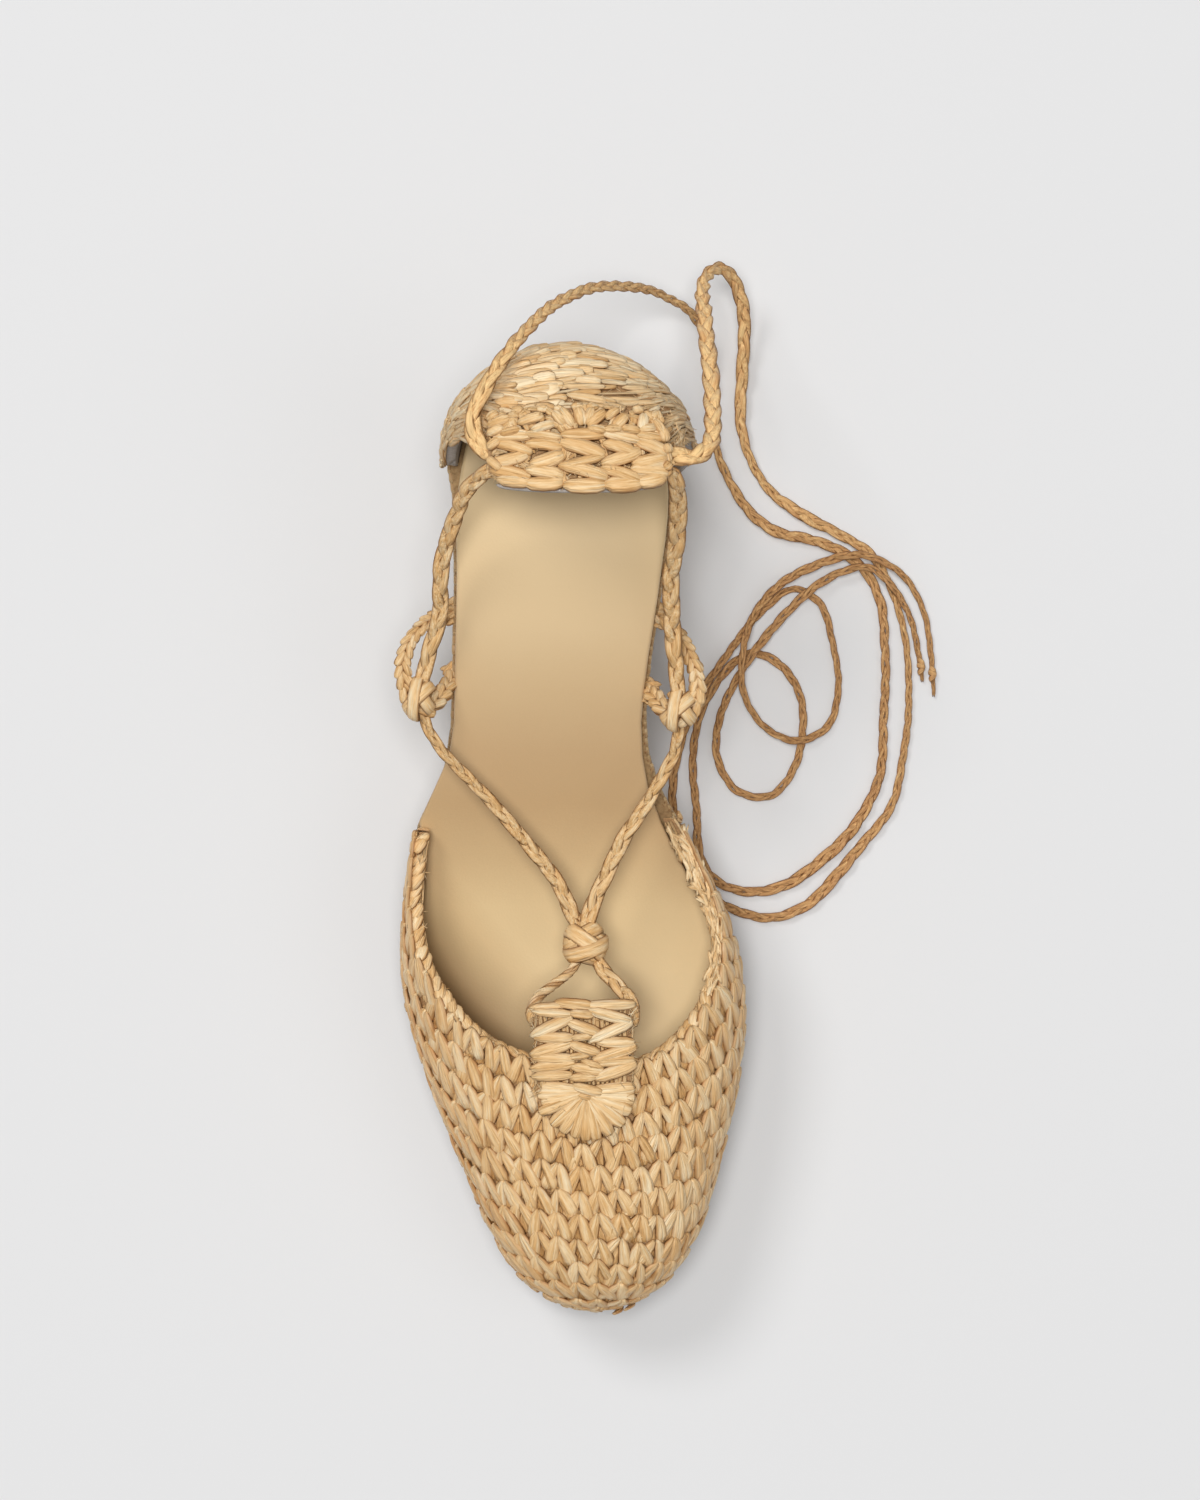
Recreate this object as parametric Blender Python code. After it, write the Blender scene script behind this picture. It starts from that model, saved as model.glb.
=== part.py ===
"""Raffia tie-up wedge espadrille, right foot.

The shoe stands on its sole: heel at +Y, toe at -Y, inner side of the foot at +X, +Z up.
Tables and sizes are in millimetres, and MM turns them into metres when a mesh is made.
"""
import math
from collections import namedtuple

import bmesh
import bpy
import numpy as np

MM = 0.001
GAP = 0.3

# Thickness of the pieces
FOOTBED_THICK = 3.0
FOOTBED_EASE = 0.5
OUTSOLE_THICK = 3.5
VAMP_WALL = 2.6
COUNTER_WALL = 2.4
BAND_THICK = 3.0
TONGUE_THICK = 2.3

# How finely curved pieces are divided
WELD = 0.00002
SHARP_EDGE = math.radians(40)
OUTLINE_POINTS = 900
OUTSOLE_RIBS = 38
WEDGE_RIBS = 44
RIB_COLUMNS = 4
BAND_GRID = (15, 6)
TONGUE_GRID = (15, 8)
KNOT_GRID = (12, 8)

# Edge of the footbed, seen from above, from heel to toe
Rib = namedtuple("Rib", "y lateral medial")
HEEL_TIP = (-1.9, 114.5)
TOE_TIP = (5.2, -114.9)
FOOTBED_EDGE = [
    Rib(111.2, -14.6, 10.8),
    Rib(102.3, -24.0, 20.2),
    Rib(90.0, -27.4, 23.5),
    Rib(60.0, -28.6, 21.6),
    Rib(42.0, -29.2, 18.9),
    Rib(26.0, -29.9, 17.6),
    Rib(13.0, -32.5, 19.2),
    Rib(0.0, -35.4, 24.6),
    Rib(-10.0, -37.2, 29.8),
    Rib(-22.0, -38.6, 35.6),
    Rib(-35.0, -38.8, 38.8),
    Rib(-50.0, -35.6, 39.2),
    Rib(-66.0, -30.1, 36.8),
    Rib(-82.0, -23.3, 32.8),
    Rib(-100.0, -15.4, 27.0),
    Rib(-108.0, -9.8, 21.6),
    Rib(-113.2, -2.4, 13.6),
]

# Side view: top of the footbed, and the tread with its arch and toe spring
Level = namedtuple("Level", "y bed ground")
SIDE_VIEW = [
    Level(120.0, 66.5, 0.0),
    Level(90.0, 66.0, 0.0),
    Level(72.0, 64.6, 0.0),
    Level(55.0, 60.8, 0.0),
    Level(40.0, 54.8, 0.0),
    Level(20.0, 44.8, 1.8),
    Level(0.0, 34.8, 1.8),
    Level(-18.0, 27.6, 0.0),
    Level(-36.0, 23.6, 0.0),
    Level(-60.0, 22.2, 0.0),
    Level(-85.0, 22.8, 0.0),
    Level(-100.0, 24.2, 2.0),
    Level(-108.0, 25.4, 4.4),
    Level(-120.0, 27.0, 9.0),
]

# How far the wedge stands out from the footbed's edge, at its top and at the tread
Margin = namedtuple("Margin", "y top_lateral top_medial tread_lateral tread_medial")
WEDGE_MARGIN = [
    Margin(120.0, 2.9, 2.9, -3.0, -3.0),
    Margin(93.0, 2.9, 2.9, -1.2, -1.2),
    Margin(82.0, -0.4, -0.4, -1.4, -1.6),
    Margin(50.0, -0.4, -0.4, -2.0, -3.0),
    Margin(25.0, -0.4, 0.2, -3.0, -6.0),
    Margin(12.0, -0.2, 1.8, -2.8, -6.0),
    Margin(4.0, 2.9, 2.9, -2.4, -5.4),
    Margin(-12.0, 2.9, 2.9, -1.4, -4.0),
    Margin(-30.0, 2.9, 2.9, -0.8, -1.6),
    Margin(-90.0, 2.9, 2.9, -0.8, -0.8),
    Margin(-120.0, 2.9, 2.9, -2.0, -2.0),
]
SIDE_FACING = 0.4

# Vamp: height of the last over the sole's edge, behind the toe tip
Crown = namedtuple("Crown", "behind height")
VAMP_CROWN = [
    Crown(0.0, 0.0),
    Crown(2.0, 10.0),
    Crown(5.0, 15.0),
    Crown(10.0, 19.6),
    Crown(18.0, 24.0),
    Crown(30.0, 28.0),
    Crown(45.0, 31.0),
    Crown(62.0, 33.2),
    Crown(80.0, 36.0),
    Crown(92.0, 39.5),
    Crown(108.0, 43.5),
    Crown(126.0, 47.0),
]
SECTION_POWER = 2.5
VAMP_REAR = 6.0
LINING_DEPTH_AT = 60.0

# Topline of the vamp: angle round the last, 0 at the lateral sole edge and 180 at the medial
Topline = namedtuple("Topline", "y angle")
VAMP_TOPLINE = [
    Topline(1.5, 6.5),
    Topline(-6.0, 11.0),
    Topline(-13.0, 14.7),
    Topline(-20.0, 19.5),
    Topline(-26.0, 25.3),
    Topline(-32.0, 32.3),
    Topline(-38.0, 40.5),
    Topline(-44.0, 49.2),
    Topline(-49.0, 58.7),
    Topline(-52.6, 68.5),
    Topline(-55.0, 80.0),
    Topline(-56.0, 94.0),
    Topline(-55.4, 107.0),
    Topline(-50.8, 120.2),
    Topline(-44.5, 132.3),
    Topline(-38.0, 141.9),
    Topline(-31.0, 150.8),
    Topline(-26.0, 156.4),
    Topline(-19.0, 162.8),
    Topline(-13.0, 167.9),
    Topline(-4.0, 172.5),
    Topline(5.0, 174.6),
]
VAMP_SPOKES = (22, 6, 23)
VAMP_STEPS = 10
TOE_CROWDING = 1.8

# Heel counter: its soft top edge, with the place round the heel (0 lateral, 1 medial) that it rises from
Collar = namedtuple("Collar", "around x y z bulge")
COUNTER_COLLAR = [
    Collar(0.00, -30.0, 90.6, 71.0, 0.6),
    Collar(0.06, -30.2, 93.4, 78.0, 0.9),
    Collar(0.13, -28.0, 96.4, 87.0, 1.5),
    Collar(0.20, -23.4, 96.6, 95.6, 2.0),
    Collar(0.28, -19.4, 91.4, 101.8, 2.4),
    Collar(0.35, -16.6, 85.2, 104.6, 2.6),
    Collar(0.42, -9.6, 83.4, 106.4, 2.6),
    Collar(0.50, 2.3, 82.9, 107.2, 2.6),
    Collar(0.58, 14.2, 83.4, 106.4, 2.8),
    Collar(0.65, 21.2, 85.2, 104.6, 3.0),
    Collar(0.72, 23.8, 91.2, 101.8, 3.2),
    Collar(0.80, 26.6, 96.0, 95.6, 3.2),
    Collar(0.87, 28.8, 95.2, 87.6, 3.0),
    Collar(0.94, 29.2, 92.8, 79.0, 2.2),
    Collar(1.00, 28.0, 90.4, 72.0, 1.2),
]
COUNTER_FRONT = 91.0
COUNTER_SPOKES = 38
COUNTER_STEPS = 9
COUNTER_RISE = 1.9
COUNTER_LEAN = 2.8
BAND_AROUND = (0.335, 0.665)
BAND_UP = (0.79, 1.0)

# Tongue strip on the vamp
TONGUE_MIDDLE = 3.0
TONGUE_HALF_WIDTH = 11.8
TONGUE_FRONT = -72.6
TONGUE_REAR = -40.2
TONGUE_CROWDING = 1.25

# Knots: middle and half sizes
Knot = namedtuple("Knot", "x y z half_x half_y half_z")
CENTRE_KNOT = Knot(3.2, -25.8, 47.0, 5.2, 5.8, 4.2)
LATERAL_KNOT = Knot(-37.2, 34.4, 60.0, 4.8, 5.8, 4.4)
MEDIAL_KNOT = Knot(26.2, 31.7, 60.0, 5.4, 5.8, 4.4)

# Cord routes: points along the middle of each braid, with its radius
Bead = namedtuple("Bead", "x y z radius")
LATERAL_LOOP = [
    Bead(-30.9, 57.0, 56.6, 1.5),
    Bead(-33.8, 54.0, 58.0, 1.6),
    Bead(-37.6, 49.4, 59.6, 1.6),
    Bead(-40.2, 44.0, 60.4, 1.6),
    Bead(-40.6, 39.0, 60.4, 1.6),
    Bead(-38.0, 34.6, 60.0, 1.6),
    Bead(-34.6, 36.2, 57.4, 1.6),
    Bead(-32.2, 39.2, 53.6, 1.6),
    Bead(-31.2, 42.0, 50.6, 1.5),
]
MEDIAL_LOOP = [
    Bead(23.3, 55.0, 56.6, 1.5),
    Bead(26.4, 51.6, 58.4, 1.6),
    Bead(29.2, 46.0, 60.2, 1.6),
    Bead(30.8, 40.0, 60.6, 1.6),
    Bead(29.6, 34.6, 60.4, 1.6),
    Bead(26.0, 31.8, 59.8, 1.6),
    Bead(22.6, 34.4, 56.2, 1.6),
    Bead(21.0, 38.0, 51.6, 1.5),
]
FRONT_LATERAL = [
    Bead(3.0, -24.0, 47.0, 1.8),
    Bead(0.4, -19.0, 47.6, 1.9),
    Bead(-3.4, -11.2, 49.0, 1.8),
    Bead(-10.8, -1.2, 51.4, 1.7),
    Bead(-18.0, 7.2, 53.6, 1.7),
    Bead(-25.8, 15.4, 55.8, 1.6),
    Bead(-32.0, 22.2, 57.8, 1.5),
    Bead(-35.6, 28.2, 59.2, 1.4),
]
FRONT_MEDIAL = [
    Bead(3.4, -24.0, 47.0, 1.8),
    Bead(4.4, -18.6, 47.8, 1.9),
    Bead(7.6, -10.4, 49.4, 1.8),
    Bead(12.4, -0.6, 51.8, 1.8),
    Bead(17.8, 7.8, 54.2, 1.7),
    Bead(22.2, 15.8, 56.4, 1.7),
    Bead(25.2, 21.6, 58.2, 1.6),
    Bead(26.0, 25.2, 59.2, 1.5),
]
TONGUE_LOOP_LATERAL = [
    Bead(2.8, -27.0, 47.0, 1.4),
    Bead(0.0, -32.2, 48.6, 1.3),
    Bead(-5.4, -36.6, 51.6, 1.3),
    Bead(-10.2, -40.4, 54.2, 1.3),
    Bead(-11.2, -44.6, 55.0, 1.3),
]
TONGUE_LOOP_MEDIAL = [
    Bead(4.0, -27.0, 47.0, 1.5),
    Bead(7.6, -32.0, 48.6, 1.5),
    Bead(12.2, -36.4, 51.6, 1.5),
    Bead(16.4, -40.2, 54.2, 1.5),
    Bead(17.2, -44.4, 55.0, 1.4),
]
REAR_LATERAL = [
    Bead(-36.0, 40.8, 61.4, 1.8),
    Bead(-34.2, 47.6, 64.4, 1.9),
    Bead(-32.2, 53.8, 68.0, 1.9),
    Bead(-31.6, 60.4, 72.0, 1.9),
    Bead(-31.0, 67.2, 77.0, 1.9),
    Bead(-29.4, 73.2, 82.4, 1.9),
    Bead(-27.2, 78.8, 89.0, 1.8),
    Bead(-24.0, 84.0, 97.0, 1.8),
    Bead(-20.2, 87.0, 103.4, 1.7),
]
REAR_MEDIAL = [
    Bead(25.8, 38.2, 62.0, 1.8),
    Bead(24.7, 47.6, 66.0, 2.0),
    Bead(24.2, 56.8, 71.4, 2.0),
    Bead(24.2, 64.6, 77.2, 2.0),
    Bead(25.0, 71.0, 83.2, 2.0),
    Bead(25.4, 77.4, 90.0, 2.1),
    Bead(25.4, 82.4, 97.0, 2.0),
    Bead(24.8, 85.4, 103.2, 1.8),
]
TAIL_MEDIAL = [
    Bead(24.6, 91.2, 104.6, 2.2),
    Bead(27.6, 90.6, 104.8, 2.2),
    Bead(30.6, 91.6, 103.0, 2.2),
    Bead(33.0, 94.6, 98.6, 2.2),
    Bead(33.8, 99.8, 91.0, 2.2),
    Bead(33.8, 107.0, 81.0, 2.1),
    Bead(33.3, 116.5, 68.0, 2.0),
    Bead(32.7, 127.6, 52.0, 1.9),
    Bead(32.2, 135.4, 39.0, 1.8),
    Bead(33.9, 141.0, 29.0, 1.8),
    Bead(37.1, 143.2, 22.0, 1.8),
    Bead(40.4, 141.5, 16.5, 1.8),
    Bead(42.7, 136.1, 11.5, 1.8),
    Bead(43.6, 127.6, 6.5, 1.8),
    Bead(43.2, 116.4, 3.2, 1.7),
    Bead(42.9, 105.0, 2.1, 1.6),
    Bead(45.4, 96.0, 2.0, 1.6),
    Bead(50.3, 88.3, 1.9, 1.6),
    Bead(58.2, 82.2, 1.9, 1.6),
    Bead(68.3, 77.0, 1.7, 1.4),
    Bead(76.3, 71.8, 1.5, 1.2),
    Bead(81.3, 63.3, 1.4, 1.1),
    Bead(84.6, 52.1, 1.4, 1.1),
    Bead(85.9, 37.2, 1.4, 1.1),
    Bead(84.6, 21.4, 1.4, 1.1),
    Bead(81.1, 7.1, 1.4, 1.1),
    Bead(74.7, -1.4, 1.4, 1.1),
    Bead(67.8, -9.6, 1.4, 1.1),
    Bead(59.3, -18.0, 1.4, 1.1),
    Bead(50.4, -21.1, 1.4, 1.1),
    Bead(42.2, -19.3, 1.4, 1.1),
    Bead(35.6, -16.0, 1.4, 1.1),
    Bead(30.4, -11.0, 1.4, 1.1),
    Bead(27.4, -4.0, 1.4, 1.1),
    Bead(25.6, 5.3, 1.3, 1.0),
    Bead(25.6, 14.2, 1.3, 1.0),
    Bead(27.4, 23.2, 1.5, 1.0),
    Bead(29.6, 30.1, 2.4, 0.9),
    Bead(33.3, 37.4, 3.6, 0.9),
    Bead(38.4, 44.8, 3.6, 0.9),
    Bead(44.0, 52.6, 1.3, 0.8),
    Bead(49.6, 58.6, 1.1, 0.8),
    Bead(56.5, 63.2, 1.1, 0.8),
    Bead(62.7, 59.9, 1.1, 0.8),
    Bead(66.2, 50.0, 1.1, 0.8),
    Bead(67.8, 37.2, 1.1, 0.8),
    Bead(64.7, 27.5, 1.8, 0.8),
    Bead(57.2, 24.2, 3.2, 0.8),
    Bead(48.8, 28.0, 2.2, 0.8),
    Bead(43.7, 36.0, 3.4, 0.8),
    Bead(43.2, 45.6, 5.6, 0.8),
    Bead(45.8, 55.6, 4.2, 0.8),
    Bead(52.0, 63.4, 3.0, 0.8),
    Bead(62.5, 69.3, 3.0, 0.8),
    Bead(73.8, 71.6, 4.6, 0.8),
    Bead(83.5, 67.2, 3.6, 0.8),
    Bead(89.6, 57.4, 1.2, 0.7),
    Bead(91.6, 46.2, 1.0, 0.7),
    Bead(92.3, 35.5, 1.0, 0.6),
]
TAIL_LATERAL = [
    Bead(-20.6, 92.8, 104.8, 2.0),
    Bead(-22.8, 96.4, 105.0, 2.0),
    Bead(-22.6, 101.8, 105.2, 2.0),
    Bead(-19.6, 108.2, 104.4, 2.0),
    Bead(-15.1, 115.6, 99.4, 1.9),
    Bead(-9.6, 123.2, 88.6, 1.9),
    Bead(-2.3, 130.8, 71.0, 1.8),
    Bead(5.7, 135.3, 54.0, 1.7),
    Bead(14.4, 137.1, 37.0, 1.6),
    Bead(23.0, 136.2, 22.0, 1.6),
    Bead(30.2, 132.4, 11.5, 1.5),
    Bead(34.2, 126.0, 6.0, 1.5),
    Bead(35.2, 117.6, 3.2, 1.5),
    Bead(35.5, 108.8, 2.0, 1.5),
    Bead(36.6, 99.1, 1.9, 1.5),
    Bead(39.9, 90.9, 1.9, 1.5),
    Bead(45.0, 83.0, 1.9, 1.5),
    Bead(51.9, 77.7, 1.8, 1.4),
    Bead(61.1, 75.6, 1.8, 1.3),
    Bead(69.8, 72.0, 1.6, 1.2),
    Bead(75.4, 66.6, 1.4, 1.1),
    Bead(78.6, 59.6, 1.4, 1.1),
    Bead(79.8, 47.5, 1.4, 1.1),
    Bead(79.5, 31.6, 1.4, 1.1),
    Bead(78.0, 14.2, 1.4, 1.1),
    Bead(72.1, 2.4, 1.4, 1.1),
    Bead(63.2, -6.4, 1.4, 1.1),
    Bead(53.7, -12.9, 1.4, 1.1),
    Bead(44.8, -14.4, 1.4, 1.1),
    Bead(37.8, -12.2, 1.4, 1.0),
    Bead(33.6, -8.0, 1.4, 1.0),
    Bead(32.0, -2.6, 1.4, 1.0),
    Bead(31.7, 5.3, 1.3, 1.0),
    Bead(30.6, 18.1, 1.3, 1.0),
    Bead(31.4, 26.5, 1.2, 0.9),
    Bead(33.4, 33.2, 1.2, 0.9),
    Bead(36.9, 39.2, 1.2, 0.8),
    Bead(41.2, 44.2, 1.1, 0.8),
    Bead(46.5, 46.6, 1.1, 0.8),
    Bead(52.4, 44.2, 1.1, 0.8),
    Bead(57.5, 37.2, 1.1, 0.8),
    Bead(58.8, 27.0, 1.1, 0.8),
    Bead(56.3, 16.8, 1.1, 0.8),
    Bead(50.1, 10.1, 1.1, 0.8),
    Bead(42.2, 11.2, 1.1, 0.8),
    Bead(37.1, 19.3, 1.1, 0.8),
    Bead(37.8, 31.1, 1.1, 0.8),
    Bead(42.1, 40.4, 2.4, 0.8),
    Bead(47.9, 49.2, 3.9, 0.8),
    Bead(55.1, 57.5, 2.9, 0.8),
    Bead(61.0, 63.0, 3.5, 0.8),
    Bead(69.3, 67.6, 3.6, 0.8),
    Bead(75.0, 68.6, 4.8, 0.8),
    Bead(80.8, 64.4, 4.5, 0.7),
    Bead(85.9, 56.2, 2.4, 0.7),
    Bead(88.2, 47.6, 1.0, 0.6),
    Bead(89.4, 39.3, 1.0, 0.6),
]
CORD_SIDES_RESOLUTION = 2
LACE_SPACING = 5.0
TAIL_SPACING = 8.6

Finish = namedtuple("Finish", "color roughness")
RAFFIA = Finish((0.73, 0.50, 0.24, 1.0), 0.55)
LEATHER = Finish((0.69, 0.51, 0.27, 1.0), 0.45)
JUTE = Finish((0.52, 0.36, 0.18, 1.0), 0.9)
RUBBER = Finish((0.35, 0.22, 0.11, 1.0), 0.7)


def curve_tangents(knots, values):
    """Slopes at each knot of a smooth curve with unevenly spaced knots."""
    step = np.diff(knots)[:, None]
    chord = np.diff(values, axis=0) / step
    inner = (chord[:-1] * step[1:] + chord[1:] * step[:-1]) / (step[1:] + step[:-1])
    return np.vstack([chord[:1], inner, chord[-1:]])


def hermite(knots, values, tangents, at):
    """Cubic through the knots, read at the given places."""
    span = np.clip(np.searchsorted(knots, at, side="right") - 1, 0, len(knots) - 2)
    step = (knots[span + 1] - knots[span])[:, None]
    t = ((at - knots[span]) / step[:, 0])[:, None]
    start = values[span] * (2 * t**3 - 3 * t**2 + 1)
    end = values[span + 1] * (3 * t**2 - 2 * t**3)
    leave = tangents[span] * (t**3 - 2 * t**2 + t) * step
    arrive = tangents[span + 1] * (t**3 - t**2) * step
    return start + end + leave + arrive


def travelled(points):
    """Distance along a row of points, from its first one."""
    steps = np.linalg.norm(np.diff(points[:, :3], axis=0), axis=1)
    return np.concatenate([[0.0], np.cumsum(steps)])


def resample(points, count):
    """The same path with evenly spaced points."""
    along = travelled(points)
    at = np.linspace(0.0, along[-1], count)
    return np.column_stack([np.interp(at, along, column) for column in points.T])


def smooth_path(rows, per_span=12):
    """Dense points on a smooth curve through the rows."""
    values = np.array(rows, float)
    knots = travelled(values)
    at = np.linspace(0.0, knots[-1], per_span * len(values))
    return hermite(knots, values, curve_tangents(knots, values), at)


def smooth_column(ys, values):
    """A level or width as a function of y that never swings past its table."""
    order = np.argsort(ys)
    knots = np.array(ys, float)[order]
    values = np.array(values, float)[order][:, None]
    chord = np.diff(values, axis=0) / np.diff(knots)[:, None]
    tangents = np.zeros_like(values)
    tangents[0] = chord[0]
    tangents[-1] = chord[-1]
    for i in range(1, len(knots) - 1):
        before = chord[i - 1, 0]
        after = chord[i, 0]
        if before * after > 0:
            tangents[i] = 2 * before * after / (before + after)

    def read(y):
        at = np.clip(np.ravel(y).astype(float), knots[0], knots[-1])
        return hermite(knots, values, tangents, at)[:, 0].reshape(np.shape(y))

    return read


class Outline:
    """A closed outline seen from above, read as a lateral and a medial edge."""

    def __init__(self, loop):
        heel = int(np.argmax(loop[:, 1]))
        loop = np.roll(loop, -heel, axis=0)
        toe = int(np.argmin(loop[:, 1]))
        self.loop = loop
        self.lateral_side = loop[: toe + 1]
        self.medial_side = np.vstack([loop[toe:], loop[:1]])
        self.heel_y = loop[0, 1]
        self.toe_y = loop[toe, 1]

    def lateral(self, y):
        side = self.lateral_side[::-1]
        return np.interp(y, side[:, 1], side[:, 0])

    def medial(self, y):
        side = self.medial_side
        return np.interp(y, side[:, 1], side[:, 0])

    def moved_out(self, lateral_margin, medial_margin):
        """The outline pushed outwards by margins that change along the shoe."""
        loop = self.loop
        ahead = np.roll(loop, -1, axis=0) - np.roll(loop, 1, axis=0)
        normal = np.column_stack([ahead[:, 1], -ahead[:, 0]])
        normal /= np.linalg.norm(normal, axis=1)[:, None]
        middle = loop.mean(axis=0)
        if ((loop - middle) * normal).sum() < 0:
            normal = -normal
        on_medial = 0.5 + 0.5 * np.clip(normal[:, 0] / SIDE_FACING, -1.0, 1.0)
        margin = lateral_margin(loop[:, 1]) * (1 - on_medial) + medial_margin(loop[:, 1]) * on_medial
        return Outline(loop + normal * margin[:, None])


def constant(value):
    """A margin that is the same all along the shoe."""
    return lambda y: np.full(np.shape(y), float(value))


def footbed_outline():
    lateral = [(rib.lateral, rib.y) for rib in FOOTBED_EDGE]
    medial = [(rib.medial, rib.y) for rib in reversed(FOOTBED_EDGE)]
    loop = [HEEL_TIP] + lateral + [TOE_TIP] + medial
    overlap = 3
    wrapped = loop[-overlap:] + loop + loop[: overlap + 1]
    values = np.array(wrapped, float)
    knots = travelled(values)
    at = np.linspace(knots[overlap], knots[overlap + len(loop)], OUTLINE_POINTS)[:-1]
    return Outline(hermite(knots, values, curve_tangents(knots, values), at))


LEVEL_Y = [level.y for level in SIDE_VIEW]
bed_level = smooth_column(LEVEL_Y, [level.bed for level in SIDE_VIEW])
ground_level = smooth_column(LEVEL_Y, [level.ground for level in SIDE_VIEW])
MARGIN_Y = [margin.y for margin in WEDGE_MARGIN]
top_lateral = smooth_column(MARGIN_Y, [margin.top_lateral for margin in WEDGE_MARGIN])
top_medial = smooth_column(MARGIN_Y, [margin.top_medial for margin in WEDGE_MARGIN])
tread_lateral = smooth_column(MARGIN_Y, [margin.tread_lateral for margin in WEDGE_MARGIN])
tread_medial = smooth_column(MARGIN_Y, [margin.tread_medial for margin in WEDGE_MARGIN])
crown_root = smooth_column(
    [math.sqrt(crown.behind) for crown in VAMP_CROWN], [crown.height for crown in VAMP_CROWN]
)

FOOTBED = footbed_outline()
FOOTBED_RIM = FOOTBED.moved_out(constant(-FOOTBED_EASE), constant(-FOOTBED_EASE))
FEATHER_LINE = FOOTBED.moved_out(constant(GAP + VAMP_WALL), constant(GAP + VAMP_WALL))
VAMP_LINING = FOOTBED.moved_out(constant(GAP), constant(GAP))
WEDGE_TOP = FOOTBED.moved_out(top_lateral, top_medial)
TREAD = FOOTBED.moved_out(tread_lateral, tread_medial)


def new_material(name, finish):
    """A plain material for one kind of piece."""
    material = bpy.data.materials.new(name)
    material.use_nodes = True
    shader = material.node_tree.nodes["Principled BSDF"]
    shader.inputs["Base Color"].default_value = finish.color
    shader.inputs["Roughness"].default_value = finish.roughness
    shader.inputs["Metallic"].default_value = 0.0
    material.diffuse_color = finish.color
    return material


def add_object(name, data, material, collection):
    piece = bpy.data.objects.new(name, data)
    data.materials.append(material)
    collection.objects.link(piece)
    return piece


def add_shell(name, outer, inner, material, collection):
    """A closed solid between two grids of points that have the same rows and columns."""
    rows, columns = outer.shape[:2]
    bm = bmesh.new()
    top = [[bm.verts.new(point * MM) for point in row] for row in outer]
    bottom = [[bm.verts.new(point * MM) for point in row] for row in inner]
    for i in range(rows - 1):
        for j in range(columns - 1):
            bm.faces.new((top[i][j], top[i + 1][j], top[i + 1][j + 1], top[i][j + 1]))
            bm.faces.new((bottom[i][j], bottom[i][j + 1], bottom[i + 1][j + 1], bottom[i + 1][j]))
    rim = [(0, j) for j in range(columns - 1)]
    rim += [(i, columns - 1) for i in range(rows - 1)]
    rim += [(rows - 1, j) for j in range(columns - 1, 0, -1)]
    rim += [(i, 0) for i in range(rows - 1, 0, -1)]
    for (i, j), (k, l) in zip(rim, rim[1:] + rim[:1]):
        bm.faces.new((top[i][j], top[k][l], bottom[k][l], bottom[i][j]))
    bmesh.ops.remove_doubles(bm, verts=bm.verts[:], dist=WELD)
    bmesh.ops.dissolve_degenerate(bm, edges=bm.edges[:], dist=WELD)
    bmesh.ops.recalc_face_normals(bm, faces=bm.faces[:])
    mesh = bpy.data.meshes.new(name)
    bm.to_mesh(mesh)
    bm.free()
    mesh.shade_smooth()
    mesh.set_sharp_from_angle(angle=SHARP_EDGE)
    return add_object(name, mesh, material, collection)


def rib_stations(count):
    """Places from heel (0) to toe (1), closer together at the round ends."""
    return 0.5 - 0.5 * np.cos(np.linspace(0.0, math.pi, count))


def rib_grid(outline, level, stations):
    """Ribs across an outline, lifted to a level that depends on y."""
    ys = outline.heel_y + stations * (outline.toe_y - outline.heel_y)
    left = outline.lateral(ys)
    right = outline.medial(ys)
    share = np.linspace(0.0, 1.0, RIB_COLUMNS)
    xs = left[:, None] + (right - left)[:, None] * share
    zs = np.repeat(level(ys)[:, None], RIB_COLUMNS, axis=1)
    return np.stack([xs, np.repeat(ys[:, None], RIB_COLUMNS, axis=1), zs], axis=2)


def make_outsole(material, collection):
    stations = rib_stations(OUTSOLE_RIBS)
    under = rib_grid(TREAD, ground_level, stations)
    over = rib_grid(TREAD, lambda y: ground_level(y) + OUTSOLE_THICK, stations)
    add_shell("outsole", over, under, material, collection)


def make_wedge(material, collection):
    stations = rib_stations(WEDGE_RIBS)
    under = rib_grid(TREAD, lambda y: ground_level(y) + OUTSOLE_THICK + GAP, stations)
    over = rib_grid(WEDGE_TOP, lambda y: bed_level(y) - FOOTBED_THICK - GAP, stations)
    add_shell("wedge", over, under, material, collection)


def make_footbed(material, collection):
    stations = rib_stations(WEDGE_RIBS)
    under = rib_grid(FOOTBED_RIM, lambda y: bed_level(y) - FOOTBED_THICK, stations)
    over = rib_grid(FOOTBED_RIM, bed_level, stations)
    add_shell("footbed", over, under, material, collection)


def crown_height(behind):
    """Height of the last over the sole's edge, a distance behind the toe tip."""
    return crown_root(np.sqrt(np.maximum(behind, 0.0)))


def last_points(outline, along, angle, shrink):
    """Points on the last: along runs from the toe tip (0) to the vamp's rear (1)."""
    y = outline.toe_y + along * (VAMP_REAR - outline.toe_y)
    left = outline.lateral(y)
    right = outline.medial(y)
    power = 2.0 / SECTION_POWER
    cosine = np.cos(angle)
    across = np.sign(cosine) * np.abs(cosine) ** power
    up = np.abs(np.sin(angle)) ** power
    x = (left + right) / 2 - (right - left) / 2 * across
    z = bed_level(y) - FOOTBED_THICK + crown_height(y - outline.toe_y) * shrink * up
    return np.stack([x, y, z], axis=-1)


def last_top(x, y):
    """Height of the outside of the vamp over a point seen from above."""
    left = FEATHER_LINE.lateral(y)
    right = FEATHER_LINE.medial(y)
    across = np.clip(np.abs(x - (left + right) / 2) / ((right - left) / 2), 0.0, 1.0)
    up = (1.0 - across**SECTION_POWER) ** (1.0 / SECTION_POWER)
    return bed_level(y) - FOOTBED_THICK + crown_height(y - FEATHER_LINE.toe_y) * up


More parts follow.
